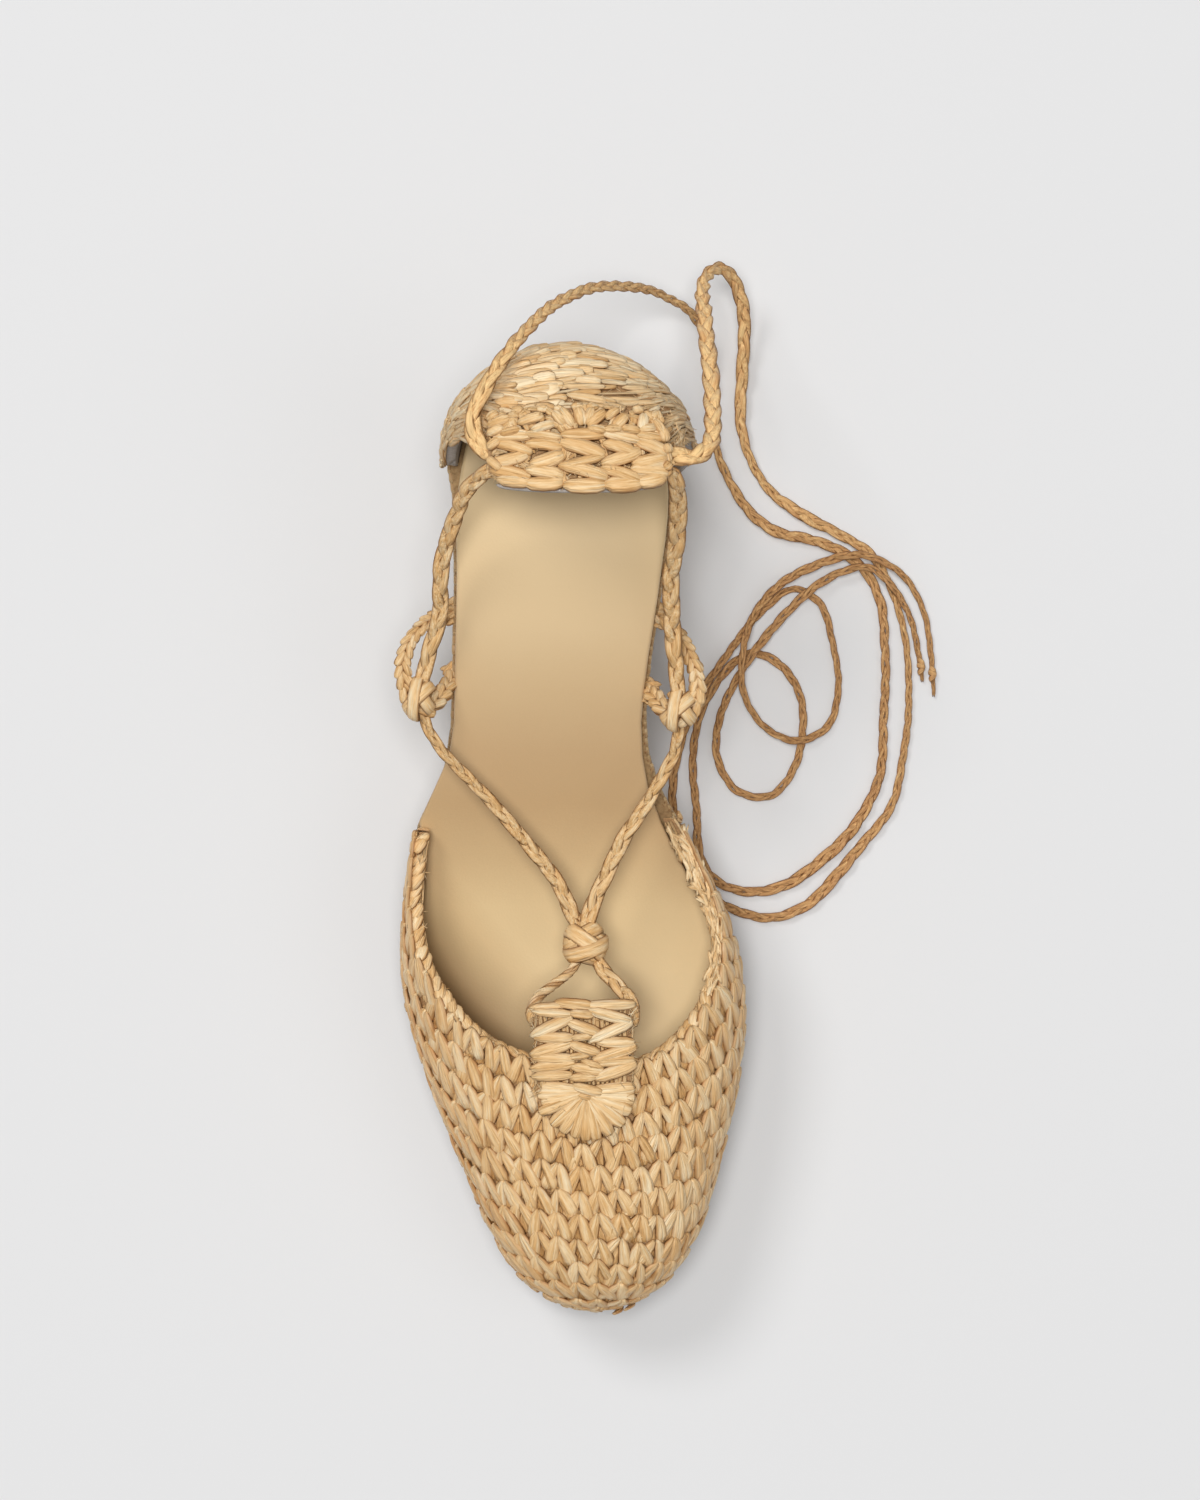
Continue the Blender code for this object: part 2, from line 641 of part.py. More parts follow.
def vamp_spokes():
    """Start on the sole's edge and end on the topline of every spoke over the toes."""
    lateral_count, tip_count, medial_count = VAMP_SPOKES
    length = VAMP_REAR - FEATHER_LINE.toe_y
    lateral_edge = FEATHER_LINE.lateral_side
    lateral_edge = lateral_edge[lateral_edge[:, 1] <= VAMP_TOPLINE[0].y]
    medial_edge = FEATHER_LINE.medial_side
    medial_edge = medial_edge[medial_edge[:, 1] <= VAMP_TOPLINE[-1].y]
    lateral_y = resample(lateral_edge, lateral_count + 1)[:-1, 1]
    medial_y = resample(medial_edge, medial_count + 1)[1:, 1]
    tip_angle = np.linspace(0.0, math.pi, tip_count + 1)
    start_y = np.concatenate([lateral_y, np.full(tip_count + 1, FEATHER_LINE.toe_y), medial_y])
    start_angle = np.concatenate([np.zeros(lateral_count), tip_angle, np.full(medial_count, math.pi)])
    edge = smooth_path([(row.y, row.angle, 0.0) for row in VAMP_TOPLINE])
    end = resample(edge, len(start_y))
    start = np.column_stack([(start_y - FEATHER_LINE.toe_y) / length, start_angle])
    finish_at = np.column_stack([(end[:, 0] - FEATHER_LINE.toe_y) / length, np.radians(end[:, 1])])
    return start, finish_at


def make_vamp(material, collection):
    start, end = vamp_spokes()
    up = np.linspace(0.0, 1.0, VAMP_STEPS + 1)
    along = start[:, :1] + (end[:, :1] - start[:, :1]) * up**TOE_CROWDING
    angle = start[:, 1:] + (end[:, 1:] - start[:, 1:]) * up
    outer = last_points(FEATHER_LINE, along, angle, 1.0)
    shrink = 1.0 - VAMP_WALL / crown_height(LINING_DEPTH_AT)
    inner = last_points(VAMP_LINING, along, angle, shrink)
    add_shell("vamp", outer, inner, material, collection)


def counter_grid(around, up):
    """Outside of the heel counter, and the way out of its wall, on a grid of places."""
    loop = FEATHER_LINE.loop
    lateral = FEATHER_LINE.lateral_side
    medial = FEATHER_LINE.medial_side
    foot_line = np.vstack([
        medial[medial[:, 1] >= COUNTER_FRONT][:-1],
        lateral[lateral[:, 1] >= COUNTER_FRONT],
    ])[::-1]
    length = travelled(np.column_stack([foot_line, np.zeros(len(foot_line))]))
    share = length / length[-1]
    foot = np.column_stack([np.interp(around, share, column) for column in foot_line.T])
    middle = loop[loop[:, 1] > COUNTER_FRONT].mean(axis=0)
    outward = foot - middle
    outward /= np.linalg.norm(outward, axis=1)[:, None]
    knots = np.array([row.around for row in COUNTER_COLLAR])
    rim_rows = np.array([(row.x, row.y, row.z, row.bulge) for row in COUNTER_COLLAR])
    rim = hermite(knots, rim_rows, curve_tangents(knots, rim_rows), around)
    lean = up**COUNTER_LEAN
    rise = 1.0 - (1.0 - up) ** COUNTER_RISE
    swell = np.sin(math.pi * up)
    foot_z = bed_level(foot[:, 1]) - FOOTBED_THICK
    plan = foot[:, None, :] + (rim[:, None, :2] - foot[:, None, :]) * lean[None, :, None]
    plan = plan + outward[:, None, :] * (rim[:, 3:4] * swell)[:, :, None]
    height = foot_z[:, None] + (rim[:, 2] - foot_z)[:, None] * rise
    points = np.concatenate([plan, height[:, :, None]], axis=2)
    side = np.gradient(points, axis=0)
    climb = np.gradient(points, axis=1)
    out = np.cross(climb, side)
    out[:, 0, 2] = 0.0
    out /= np.linalg.norm(out, axis=2)[:, :, None]
    if (out[:, 0, :2] * outward).sum() < 0:
        out = -out
    return points, out


def make_heel_counter(material, collection):
    around = np.linspace(0.0, 1.0, COUNTER_SPOKES + 1)
    up = np.linspace(0.0, 1.0, COUNTER_STEPS + 1)
    points, out = counter_grid(around, up)
    add_shell("heel_counter", points, points - out * COUNTER_WALL, material, collection)


def make_heel_band(material, collection):
    """A tape sewn over the top of the counter, which takes the lace."""
    around = np.linspace(BAND_AROUND[0], BAND_AROUND[1], BAND_GRID[0])
    up = np.linspace(BAND_UP[0], BAND_UP[1], BAND_GRID[1])
    points, out = counter_grid(around, up)
    fine_out = np.repeat(out.mean(axis=1, keepdims=True), len(up), axis=1)
    fine_out /= np.linalg.norm(fine_out, axis=2)[:, :, None]
    under = points + fine_out * (2 * GAP)
    add_shell("heel_band", under + fine_out * BAND_THICK, under, material, collection)


def make_tongue(material, collection):
    """A strip over the middle of the vamp, round at its front and free behind the throat."""
    along = np.linspace(0.0, 1.0, TONGUE_GRID[0]) ** TONGUE_CROWDING
    ys = TONGUE_FRONT + (TONGUE_REAR - TONGUE_FRONT) * along
    beyond = np.clip((TONGUE_FRONT + TONGUE_HALF_WIDTH - ys) / TONGUE_HALF_WIDTH, 0.0, 1.0)
    half = TONGUE_HALF_WIDTH * np.sqrt(1.0 - beyond**2)
    share = np.linspace(-1.0, 1.0, TONGUE_GRID[1])
    xs = TONGUE_MIDDLE + half[:, None] * share
    grid_y = np.repeat(ys[:, None], len(share), axis=1)
    under = np.stack([xs, grid_y, last_top(xs, grid_y) + 2 * GAP], axis=2)
    over = under + np.array([0.0, 0.0, TONGUE_THICK])
    add_shell("tongue", over, under, material, collection)


def make_tube(name, beads, spacing, material, collection):
    """A cord: a round tube whose radius follows its route."""
    path = smooth_path(beads)
    count = int(round(travelled(path)[-1] / spacing)) + 1
    points = resample(path, count)
    curve = bpy.data.curves.new(name, "CURVE")
    curve.dimensions = "3D"
    curve.bevel_depth = MM
    curve.bevel_resolution = CORD_SIDES_RESOLUTION
    curve.use_fill_caps = True
    spline = curve.splines.new("POLY")
    spline.points.add(count - 1)
    for point, (x, y, z, radius) in zip(spline.points, points):
        point.co = (x * MM, y * MM, z * MM, 1.0)
        point.radius = radius
    return add_object(name, curve, material, collection)


def tube_mesh(name, beads, material, collection):
    """The same cord as a closed mesh, ready to be joined to others."""
    tube = make_tube(name + "_curve", beads, LACE_SPACING, material, collection)
    bpy.context.view_layer.update()
    depsgraph = bpy.context.evaluated_depsgraph_get()
    mesh = bpy.data.meshes.new_from_object(tube.evaluated_get(depsgraph))
    bpy.data.objects.remove(tube)
    bm = bmesh.new()
    bm.from_mesh(mesh)
    bmesh.ops.remove_doubles(bm, verts=bm.verts[:], dist=WELD)
    bmesh.ops.recalc_face_normals(bm, faces=bm.faces[:])
    bm.to_mesh(mesh)
    bm.free()
    mesh.name = name
    mesh.materials.clear()
    return add_object(name, mesh, material, collection)


def knot_mesh(name, knot, material, collection):
    """A tied lump, rounded like the wraps of its cord."""
    bm = bmesh.new()
    bmesh.ops.create_uvsphere(bm, u_segments=KNOT_GRID[0], v_segments=KNOT_GRID[1], radius=1.0)
    sizes = (knot.half_x * MM, knot.half_y * MM, knot.half_z * MM)
    bmesh.ops.scale(bm, vec=sizes, verts=bm.verts[:])
    bmesh.ops.translate(bm, vec=(knot.x * MM, knot.y * MM, knot.z * MM), verts=bm.verts[:])
    mesh = bpy.data.meshes.new(name)
    bm.to_mesh(mesh)
    bm.free()
    return add_object(name, mesh, material, collection)


def knotted_cords(name, knot, routes, material, parts, tools):
    """Cords that run into one knot, joined into a single solid."""
    piece = knot_mesh(name, knot, material, parts)
    for number, beads in enumerate(routes):
        cord = tube_mesh(f"{name}_cord_{number}", beads, material, tools)
        cord.hide_render = True
        cord.display_type = "WIRE"
        union = piece.modifiers.new(f"join_{number}", "BOOLEAN")
        union.operation = "UNION"
        union.solver = "EXACT"
        union.object = cord
    return piece


def clear_scene():
    for piece in list(bpy.data.objects):
        bpy.data.objects.remove(piece)


def new_collection(name):
    collection = bpy.data.collections.new(name)
    bpy.context.scene.collection.children.link(collection)
    return collection


def main():
    clear_scene()
    parts = new_collection("wedge_espadrille")
    tools = new_collection("joining_pieces")
    raffia = new_material("raffia", RAFFIA)
    leather = new_material("footbed_leather", LEATHER)
    jute = new_material("jute", JUTE)
    rubber = new_material("rubber", RUBBER)
    make_outsole(rubber, parts)
    make_wedge(jute, parts)
    make_footbed(leather, parts)
    make_vamp(raffia, parts)
    make_heel_counter(raffia, parts)
    make_heel_band(raffia, parts)
    make_tongue(raffia, parts)
    knotted_cords("side_loop_lateral", LATERAL_KNOT, [LATERAL_LOOP], raffia, parts, tools)
    knotted_cords("side_loop_medial", MEDIAL_KNOT, [MEDIAL_LOOP], raffia, parts, tools)
    front_routes = [FRONT_LATERAL, FRONT_MEDIAL, TONGUE_LOOP_LATERAL, TONGUE_LOOP_MEDIAL]
    knotted_cords("lace_front", CENTRE_KNOT, front_routes, raffia, parts, tools)
    make_tube("lace_rear_lateral", REAR_LATERAL, LACE_SPACING, raffia, parts)
    make_tube("lace_rear_medial", REAR_MEDIAL, LACE_SPACING, raffia, parts)
    make_tube("lace_tail_lateral", TAIL_LATERAL, TAIL_SPACING, raffia, parts)
    make_tube("lace_tail_medial", TAIL_MEDIAL, TAIL_SPACING, raffia, parts)


main()
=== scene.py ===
"""Looks of the raffia tie-up wedge espadrille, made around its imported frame.

Tables and sizes are in millimetres, and MM turns them into metres when a mesh is made.
Heel at +Y, toe at -Y, inner side of the foot at +X, +Z up.
"""
import math

import bmesh
import bpy
import numpy as np
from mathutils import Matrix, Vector
from mathutils.bvhtree import BVHTree
from mathutils.interpolate import poly_3d_calc


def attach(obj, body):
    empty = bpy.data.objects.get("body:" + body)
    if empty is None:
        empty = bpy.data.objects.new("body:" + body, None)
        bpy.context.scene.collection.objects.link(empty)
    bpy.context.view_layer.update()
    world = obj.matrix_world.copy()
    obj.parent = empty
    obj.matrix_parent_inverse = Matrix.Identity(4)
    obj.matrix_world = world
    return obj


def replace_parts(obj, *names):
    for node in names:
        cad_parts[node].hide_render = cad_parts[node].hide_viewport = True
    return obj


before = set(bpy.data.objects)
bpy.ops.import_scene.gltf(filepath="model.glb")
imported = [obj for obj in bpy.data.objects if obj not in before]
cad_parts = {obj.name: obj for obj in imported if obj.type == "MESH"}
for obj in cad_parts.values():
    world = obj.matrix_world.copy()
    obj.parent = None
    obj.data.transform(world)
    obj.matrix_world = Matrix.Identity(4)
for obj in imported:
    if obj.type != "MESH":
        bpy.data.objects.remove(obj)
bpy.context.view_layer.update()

MM = 0.001
UP = np.array([0.0, 0.0, 1.0])
TOEWARD = np.array([0.0, -1.0, 0.0])
rng = np.random.default_rng(41)

# The photograph's camera: straight above the shoe
CAMERA_AT = (6.9, 21.9, 1300.0)
IMAGE_SIZE = (1200, 1500)
SENSOR = 36.0
FOCAL_PIXELS = 5078.125


# Random draws

def jitter(size, *shape):
    """Random values about nought."""
    return rng.normal(0.0, size, shape or None)


def draw(mean, spread, low, high, count=None):
    """Random values about a mean, held between two limits."""
    return np.clip(rng.normal(mean, spread, count), low, high)


def scatter(count, left, right, top, bottom):
    """Random pixels of the photograph in a rectangle."""
    return np.column_stack([rng.uniform(left, right, count), rng.uniform(top, bottom, count)])


# Curves and paths

POINTS_PER_ROW = 12
SETTLE = 0.4


def unit(vectors):
    length = np.linalg.norm(vectors, axis=-1, keepdims=True)
    return vectors / np.maximum(length, 1e-9)


def running(steps):
    """Nought, and then the sum of the steps up to each one."""
    return np.concatenate([[0.0], np.cumsum(steps)])


def travelled(points):
    """Distance along a row of points, from its first one."""
    return running(np.linalg.norm(np.diff(points[:, :3], axis=0), axis=1))


def read_off(places, along, rows):
    """Rows that belong to distances along a line, read off at other places of it."""
    return np.column_stack([np.interp(places, along, column) for column in rows.T])


def at_distances(points, places):
    """Points of a path at the given distances from its start."""
    return read_off(places, travelled(points), points)


def evenly(points, count):
    """Points at even distances along a path."""
    return at_distances(points, np.linspace(0.0, travelled(points)[-1], count))


def smooth_path(rows):
    """Dense points on a smooth curve through the rows."""
    values = np.array(rows, float)
    knots = travelled(values)
    step = np.diff(knots)[:, None]
    chord = np.diff(values, axis=0) / step
    inner = (chord[:-1] * step[1:] + chord[1:] * step[:-1]) / (step[1:] + step[:-1])
    slope = np.vstack([chord[:1], inner, chord[-1:]])
    at = np.linspace(0.0, knots[-1], POINTS_PER_ROW * len(values))
    span = np.clip(np.searchsorted(knots, at, side="right") - 1, 0, len(knots) - 2)
    width = step[span]
    t = ((at - knots[span]) / width[:, 0])[:, None]
    ends = values[span] * (2 * t**3 - 3 * t**2 + 1) + values[span + 1] * (3 * t**2 - 2 * t**3)
    bends = slope[span] * (t**3 - 2 * t**2 + t) + slope[span + 1] * (t**3 - t**2)
    return ends + bends * width


def carried_normals(points):
    """The way a path runs and its normals, which settle face up, worked out from its far end."""
    ahead = unit(np.gradient(points, axis=0))
    normals = np.zeros_like(points)
    normal = UP
    for i in range(len(points) - 1, -1, -1):
        normal = normal + UP * SETTLE
        normal = unit(normal - ahead[i] * (normal @ ahead[i]))
        normals[i] = normal
    return ahead, normals


def averaged(rows, reach):
    """Rows smoothed with their neighbours on both sides."""
    padded = np.vstack([np.repeat(rows[:1], reach, axis=0), rows, np.repeat(rows[-1:], reach, axis=0)])
    return sum(padded[i : i + len(rows)] for i in range(2 * reach + 1)) / (2 * reach + 1)


# Joined meshes of leaves and strands

GRAIN_LENGTH = 7.0
STRAND_END = 0.35


def tube_faces(rings, sides):
    """Faces of a tube made of rings of points, closed by two tips that are numbered after them."""
    tip = rings * sides
    pairs = [(j, (j + 1) % sides) for j in range(sides)]
    faces = []
    for a in range(0, tip - sides, sides):
        faces.extend([a + j, a + k, a + sides + k, a + sides + j] for j, k in pairs)
    for j, k in pairs:
        faces.append([tip, k, j])
        faces.append([tip + 1, tip - sides + j, tip - sides + k])
    return faces


def unit_leaf():
    """A flat closed leaf along X with steep edges, pointed at its near end and blunt at its far one."""
    stations = [
        (-0.86, 0.46, 0.82), (-0.56, 0.88, 0.97), (0.0, 1.0, 1.0), (0.55, 0.97, 1.0), (0.88, 0.70, 0.85),
    ]
    columns = [(-1.0, 0.0), (-0.78, 0.78), (-0.28, 1.0), (0.28, 0.90), (0.78, 0.84), (1.0, 0.0)]
    points = []
    grain = []
    for x, wide, high in stations:
        for across, top in columns:
            points.append((x, across * wide, top * high))
            grain.append(((x + 1) / 2, (across + 1) / 2))
    points += [(-1.0, 0.0, 0.0), (1.0, 0.0, 0.0)]
    grain += [(0.0, 0.5), (1.0, 0.5)]
    return np.array(points), tube_faces(len(stations), len(columns)), np.array(grain)


LEAF_POINTS, LEAF_FACES, LEAF_GRAIN = unit_leaf()


class Weave:
    """Many leaves and strands, joined into one mesh with a tone and a grain direction each."""

    def __init__(self):
        self.points = []
        self.faces = []
        self.grain = []
        self.tones = []
        self.count = 0

    def add(self, points, faces, grain, tones):
        self.points.append(points)
        self.faces.extend([index + self.count for index in face] for face in faces)
        self.grain.append(grain)
        self.tones.append(tones)
        self.count += len(points)

    def leaves(self, start, end, normal, width, thick, tone, taper=0.0, arch=0.0, lift=0.0, bow=0.0):
        """Leaves from start to end, each a flat blade that faces along its normal and bows to its left."""
        start = np.atleast_2d(start)
        end = np.atleast_2d(end)
        along = end - start
        side = unit(np.cross(normal, along))
        face = unit(np.cross(along, side))
        sizes = (width, thick, tone, taper, arch, lift, bow)
        sizes = [np.broadcast_to(size, len(start))[:, None] for size in sizes]
        width, thick, tone, taper, arch, lift, bow = sizes
        x, y, z = LEAF_POINTS.T
        half = width / 2 * y * (1.0 + taper * x) + bow * (1.0 - x**2)
        rise = thick / 2 * z + lift + arch * (1.0 - x**2)
        points = (start + end)[:, None, :] / 2 + along[:, None, :] * (x[:, None] / 2)
        points = points + side[:, None, :] * half[:, :, None] + face[:, None, :] * rise[:, :, None]
        for leaf, value in zip(points, tone):
            self.add(leaf, LEAF_FACES, LEAF_GRAIN, np.full(len(leaf), value))

    def leaf(self, places, normals, width, thick, tone, **shape):
        """One leaf between two places, which faces along the normals of both."""
        self.leaves(places[:1], places[1:], unit(normals.sum(axis=0)), width, thick, tone, **shape)

    def strand(self, points, normals, half_width, half_thick, tone, sides=6, edge_shade_spread=0.5):
        """A flat strand swept along a path, closed at both ends, with the painted shade on its edges
        spread as given.
        """
        count = len(points)
        ahead = unit(np.gradient(points, axis=0))
        side = unit(np.cross(normals, ahead))
        face = unit(np.cross(ahead, side))
        pinch = np.ones((count, 1))
        pinch[[0, -1]] = STRAND_END
        half_width = np.broadcast_to(half_width, count)[:, None] * pinch
        half_thick = np.broadcast_to(half_thick, count)[:, None] * pinch
        turn = np.arange(sides) * (2 * math.pi / sides)
        ring = side[:, None, :] * (half_width * np.cos(turn))[:, :, None]
        ring = ring + face[:, None, :] * (half_thick * np.sin(turn))[:, :, None]
        skin = (points[:, None, :] + ring).reshape(-1, 3)
        skin = np.vstack([skin, points[:1], points[-1:]])
        u = np.repeat(travelled(points) / GRAIN_LENGTH, sides)
        v = np.tile(np.cos(turn) * edge_shade_spread + 0.5, count)
        grain = np.vstack([np.column_stack([u, v]), [[u[0], 0.5], [u[-1], 0.5]]])
        tones = np.broadcast_to(tone, count)
        tones = np.concatenate([np.repeat(tones, sides), tones[:1], tones[-1:]])
        self.add(skin, tube_faces(count, sides), grain, tones)

    def piece(self, name, material, slot="raffia"):
        mesh = bpy.data.meshes.new(name)
        mesh.from_pydata((np.vstack(self.points) * MM).tolist(), [], self.faces)
        corner = np.zeros(len(mesh.loops), int)
        mesh.loops.foreach_get("vertex_index", corner)
        layer = mesh.uv_layers.new(name="grain")
        layer.data.foreach_set("uv", np.vstack(self.grain)[corner].ravel())
        tone = mesh.attributes.new("tone", "FLOAT", "POINT")
        tone.data.foreach_set("value", np.concatenate(self.tones))
        bm = bmesh.new()
        bm.from_mesh(mesh)
        bmesh.ops.recalc_face_normals(bm, faces=bm.faces[:])
        bm.to_mesh(mesh)
        bm.free()
        return place(name, mesh, material)


def mesh_of(bm, name):
    mesh = bpy.data.meshes.new(name)
    bm.to_mesh(mesh)
    bm.free()
    return mesh


def add_object(name, data):
    added = bpy.data.objects.new(name, data)
    bpy.context.scene.collection.objects.link(added)
    return added


def place(name, mesh, material):
    mesh.shade_smooth()
    piece = add_object(name, mesh)
    mesh.materials.append(material)
    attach(piece, "root")
    return piece


# Finding places on the frame

SHARP = math.radians(48)

# A place over each node, from where its skin is found straight below
LOOK_DOWN_FROM = {
    "vamp": (3.2, -80.0),
    "heel_counter": (3.0, 108.0),
    "heel_band": (2.0, 92.0),
    "tongue": (3.0, -55.0),
    "wedge": (0.0, 30.0),
}


def merged_copy(node):
    """A copy of a frame node's mesh with its loose triangles joined."""
    bm = bmesh.new()
    bm.from_mesh(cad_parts[node].data)
    bmesh.ops.remove_doubles(bm, verts=bm.verts[:], dist=1e-6)
    bm.faces.ensure_lookup_table()
    return bm


def smooth_region(bm, seed):
    """Numbers of the faces that join the seed without crossing a sharp edge."""
    found = {seed}
    waiting = [seed]
    while waiting:
        for edge in bm.faces[waiting.pop()].edges:
            if len(edge.link_faces) == 2 and edge.calc_face_angle() <= SHARP:
                fresh = {face.index for face in edge.link_faces} - found
                found |= fresh
                waiting.extend(fresh)
    return sorted(found)


def border_loop(bm, region):
    """The longest border of a region of faces, as points in order."""
    inside = set(region)
    onward = {}
    for number in region:
        for loop in bm.faces[number].loops:
            if sum(face.index in inside for face in loop.edge.link_faces) == 1:
                onward[loop.vert.index] = loop.link_loop_next.vert.index
    longest = []
    while onward:
        at = min(onward)
        walk = []
        while at in onward:
            walk.append(at)
            at = onward.pop(at)
        longest = max(longest, walk, key=len)
    return np.array([bm.verts[number].co / MM for number in longest])


class Skin:
    """One smooth side of a frame node: where it is, which way it faces and where it ends."""

    def __init__(self, node):
        bm = merged_copy(node)
        bm.verts.ensure_lookup_table()
        bm.verts.index_update()
        bm.faces.index_update()
        x, y = LOOK_DOWN_FROM[node]
        down = Vector((0, 0, -1))
        _, _, seed, _ = BVHTree.FromBMesh(bm).ray_cast(Vector((x * MM, y * MM, 1.0)), down)
        self.region = smooth_region(bm, seed)
        self.border = border_loop(bm, self.region)
        self.points = np.array([vert.co / MM for vert in bm.verts])
        self.corners = [[vert.index for vert in bm.faces[number].verts] for number in self.region]
        facing = np.zeros_like(self.points)
        for number, corners in zip(self.region, self.corners):
            face = bm.faces[number]
            facing[corners] += np.array(face.normal) * face.calc_area()
        self.facing = unit(facing)
        self.tree = BVHTree.FromPolygons(self.points.tolist(), self.corners)
        bm.free()

    def nearest(self, points):
        """The closest places on the skin, and its smooth normals there."""
        places = np.zeros_like(points)
        normals = np.zeros_like(points)
        for i, point in enumerate(points):
            found, _, number, _ = self.tree.find_nearest(Vector(point))
            corners = self.corners[number]
            shares = poly_3d_calc([Vector(self.points[corner]) for corner in corners], found)
            places[i] = found
            normals[i] = np.array(shares) @ self.facing[corners]
        return places, unit(normals)

    def under(self, pixels, height):
        """Where pixels of the photograph fall on the skin, or near it at a height."""
        pixels = np.array(pixels, float)
        eye = Vector(CAMERA_AT)
        places = np.zeros((len(pixels), 3))
        for i, (px, py) in enumerate(pixels):
            ray = Vector((px - IMAGE_SIZE[0] / 2, IMAGE_SIZE[1] / 2 - py, -FOCAL_PIXELS))
            hit, _, _, _ = self.tree.ray_cast(eye, ray)
            places[i] = hit or eye + ray * ((CAMERA_AT[2] - height) / FOCAL_PIXELS)
        return self.nearest(places)


# Shader nodes

def connect(tree, socket, value):
    if isinstance(value, Value):
        tree.links.new(value.socket, socket)
    else:
        socket.default_value = value


def operator(operation, reflected=False):
    """A method that joins a value and another one by a math node."""
    def joined(self, other):
        return self.math(operation, other, self) if reflected else self.math(operation, self, other)
    return joined


class Value:
    """One output of a node, or arithmetic on outputs."""

    def __init__(self, tree, socket):
        self.tree = tree
        self.socket = socket

    def math(self, operation, *values):
        node = self.tree.nodes.new("ShaderNodeMath")
        node.operation = operation
        for socket, value in zip(node.inputs, values):
            connect(self.tree, socket, value)
        return Value(self.tree, node.outputs[0])

    def __abs__(self):
        return self.math("ABSOLUTE", self)

    __add__ = operator("ADD")
    __radd__ = operator("ADD", reflected=True)
    __sub__ = operator("SUBTRACT")
    __rsub__ = operator("SUBTRACT", reflected=True)
    __mul__ = operator("MULTIPLY")
    __rmul__ = operator("MULTIPLY", reflected=True)
    __pow__ = operator("POWER")
    __rpow__ = operator("POWER", reflected=True)


class Finish:
    """A material and the nodes that make it."""

    def __init__(self, name, **constants):
        self.material = bpy.data.materials.new(name)
        self.material.use_nodes = True
        self.tree = self.material.node_tree
        self.shader = self.tree.nodes["Principled BSDF"]
        for socket, value in constants.items():
            self.set(socket.replace("_", " "), value)

    def set(self, socket, value):
        connect(self.tree, self.shader.inputs[socket], value)

    def node(self, kind, settings, sockets, output=0):
        """One output of a new node, or all of them where none is named."""
        node = self.tree.nodes.new("ShaderNode" + kind)
        for name, value in settings.items():
            if name == "stops":
                self.set_stops(node.color_ramp, value)
            else:
                setattr(node, name, value)
        for name, value in sockets.items():
            connect(self.tree, node.inputs[name], value)
        if output is None:
            return [Value(self.tree, socket) for socket in node.outputs]
        return Value(self.tree, node.outputs[output])

    def set_stops(self, ramp, stops):
        while len(ramp.elements) < len(stops):
            ramp.elements.new(0.5)
        for element, (position, color) in zip(ramp.elements, stops):
            element.position = position
            element.color = (*color, 1.0)

    def noise(self, vector, scale, detail=2.0, roughness=0.5):
        sockets = {"Vector": vector, "Scale": scale, "Detail": detail, "Roughness": roughness}
        return self.node("TexNoise", {}, sockets)

    def vector(self, x, y, z):
        return self.node("CombineXYZ", {}, {"X": x, "Y": y, "Z": z})

    def parts(self, vector):
        return self.node("SeparateXYZ", {}, {"Vector": vector}, None)

    def ramp(self, value, stops):
        return self.node("ValToRGB", {"stops": stops}, {"Fac": value})

    def mix(self, share, first, second, blend="MIX"):
        settings = {"data_type": "RGBA", "blend_type": blend}
        return self.node("Mix", settings, {0: share, 6: first, 7: second}, 2)

    def bump(self, height, strength, depth):
        sockets = {"Height": height, "Strength": strength, "Distance": depth * MM}
        self.set("Normal", self.node("Bump", {}, sockets))

    def object_place(self):
        """Object coordinates in millimetres."""
        coordinates = self.node("TexCoord", {}, {}, "Object")
        sockets = {"Vector": coordinates, "Scale": 1.0 / MM}
        return self.node("VectorMath", {"operation": "SCALE"}, sockets)


def raffia_finish(name, stops, painted_edge_shade):
    """Split raffia: satin straw with fibres along each leaf, and painted shade that darkens each leaf's
    rolled edges.
    """
    finish = Finish(name, IOR=1.45, Specular_IOR_Level=0.4)
    u, v, _ = finish.parts(finish.node("UVMap", {"uv_map": "grain"}, {}))
    tone = finish.node("Attribute", {"attribute_name": "tone"}, {}, "Fac")
    broad = finish.noise(finish.vector(u * 1.2, v * 1.4 + tone * 41.0, tone * 17.0), 1.6)
    fibre = finish.noise(finish.vector(u * 0.5, v * 2.3 + tone * 23.0, tone * 57.0), 1.6, 3.0, 0.65)
    hair = finish.noise(finish.vector(u * 0.9, v * 6.5 + tone * 31.0, tone * 29.0), 1.8, 2.0, 0.6)
    color = finish.ramp(tone * 0.60 + broad * 0.30 + fibre * 1.3 + hair * 0.6 - 0.95, stops)
    # Painted shade: darker towards the edges of each leaf and strand, for the dark outlines where leaves
    # meet.
    edge = abs(v * 2.0 - 1.0) ** 4.0
    shade = finish.mix(edge * 0.95, (1, 1, 1, 1), painted_edge_shade)
    finish.set("Base Color", finish.mix(1.0, color, shade, "MULTIPLY"))
    finish.set("Roughness", fibre * 0.3 + 0.34)
    finish.bump(broad * 0.3 + fibre * 1.2 + hair * 0.35, 0.9, 0.8)
    return finish.material


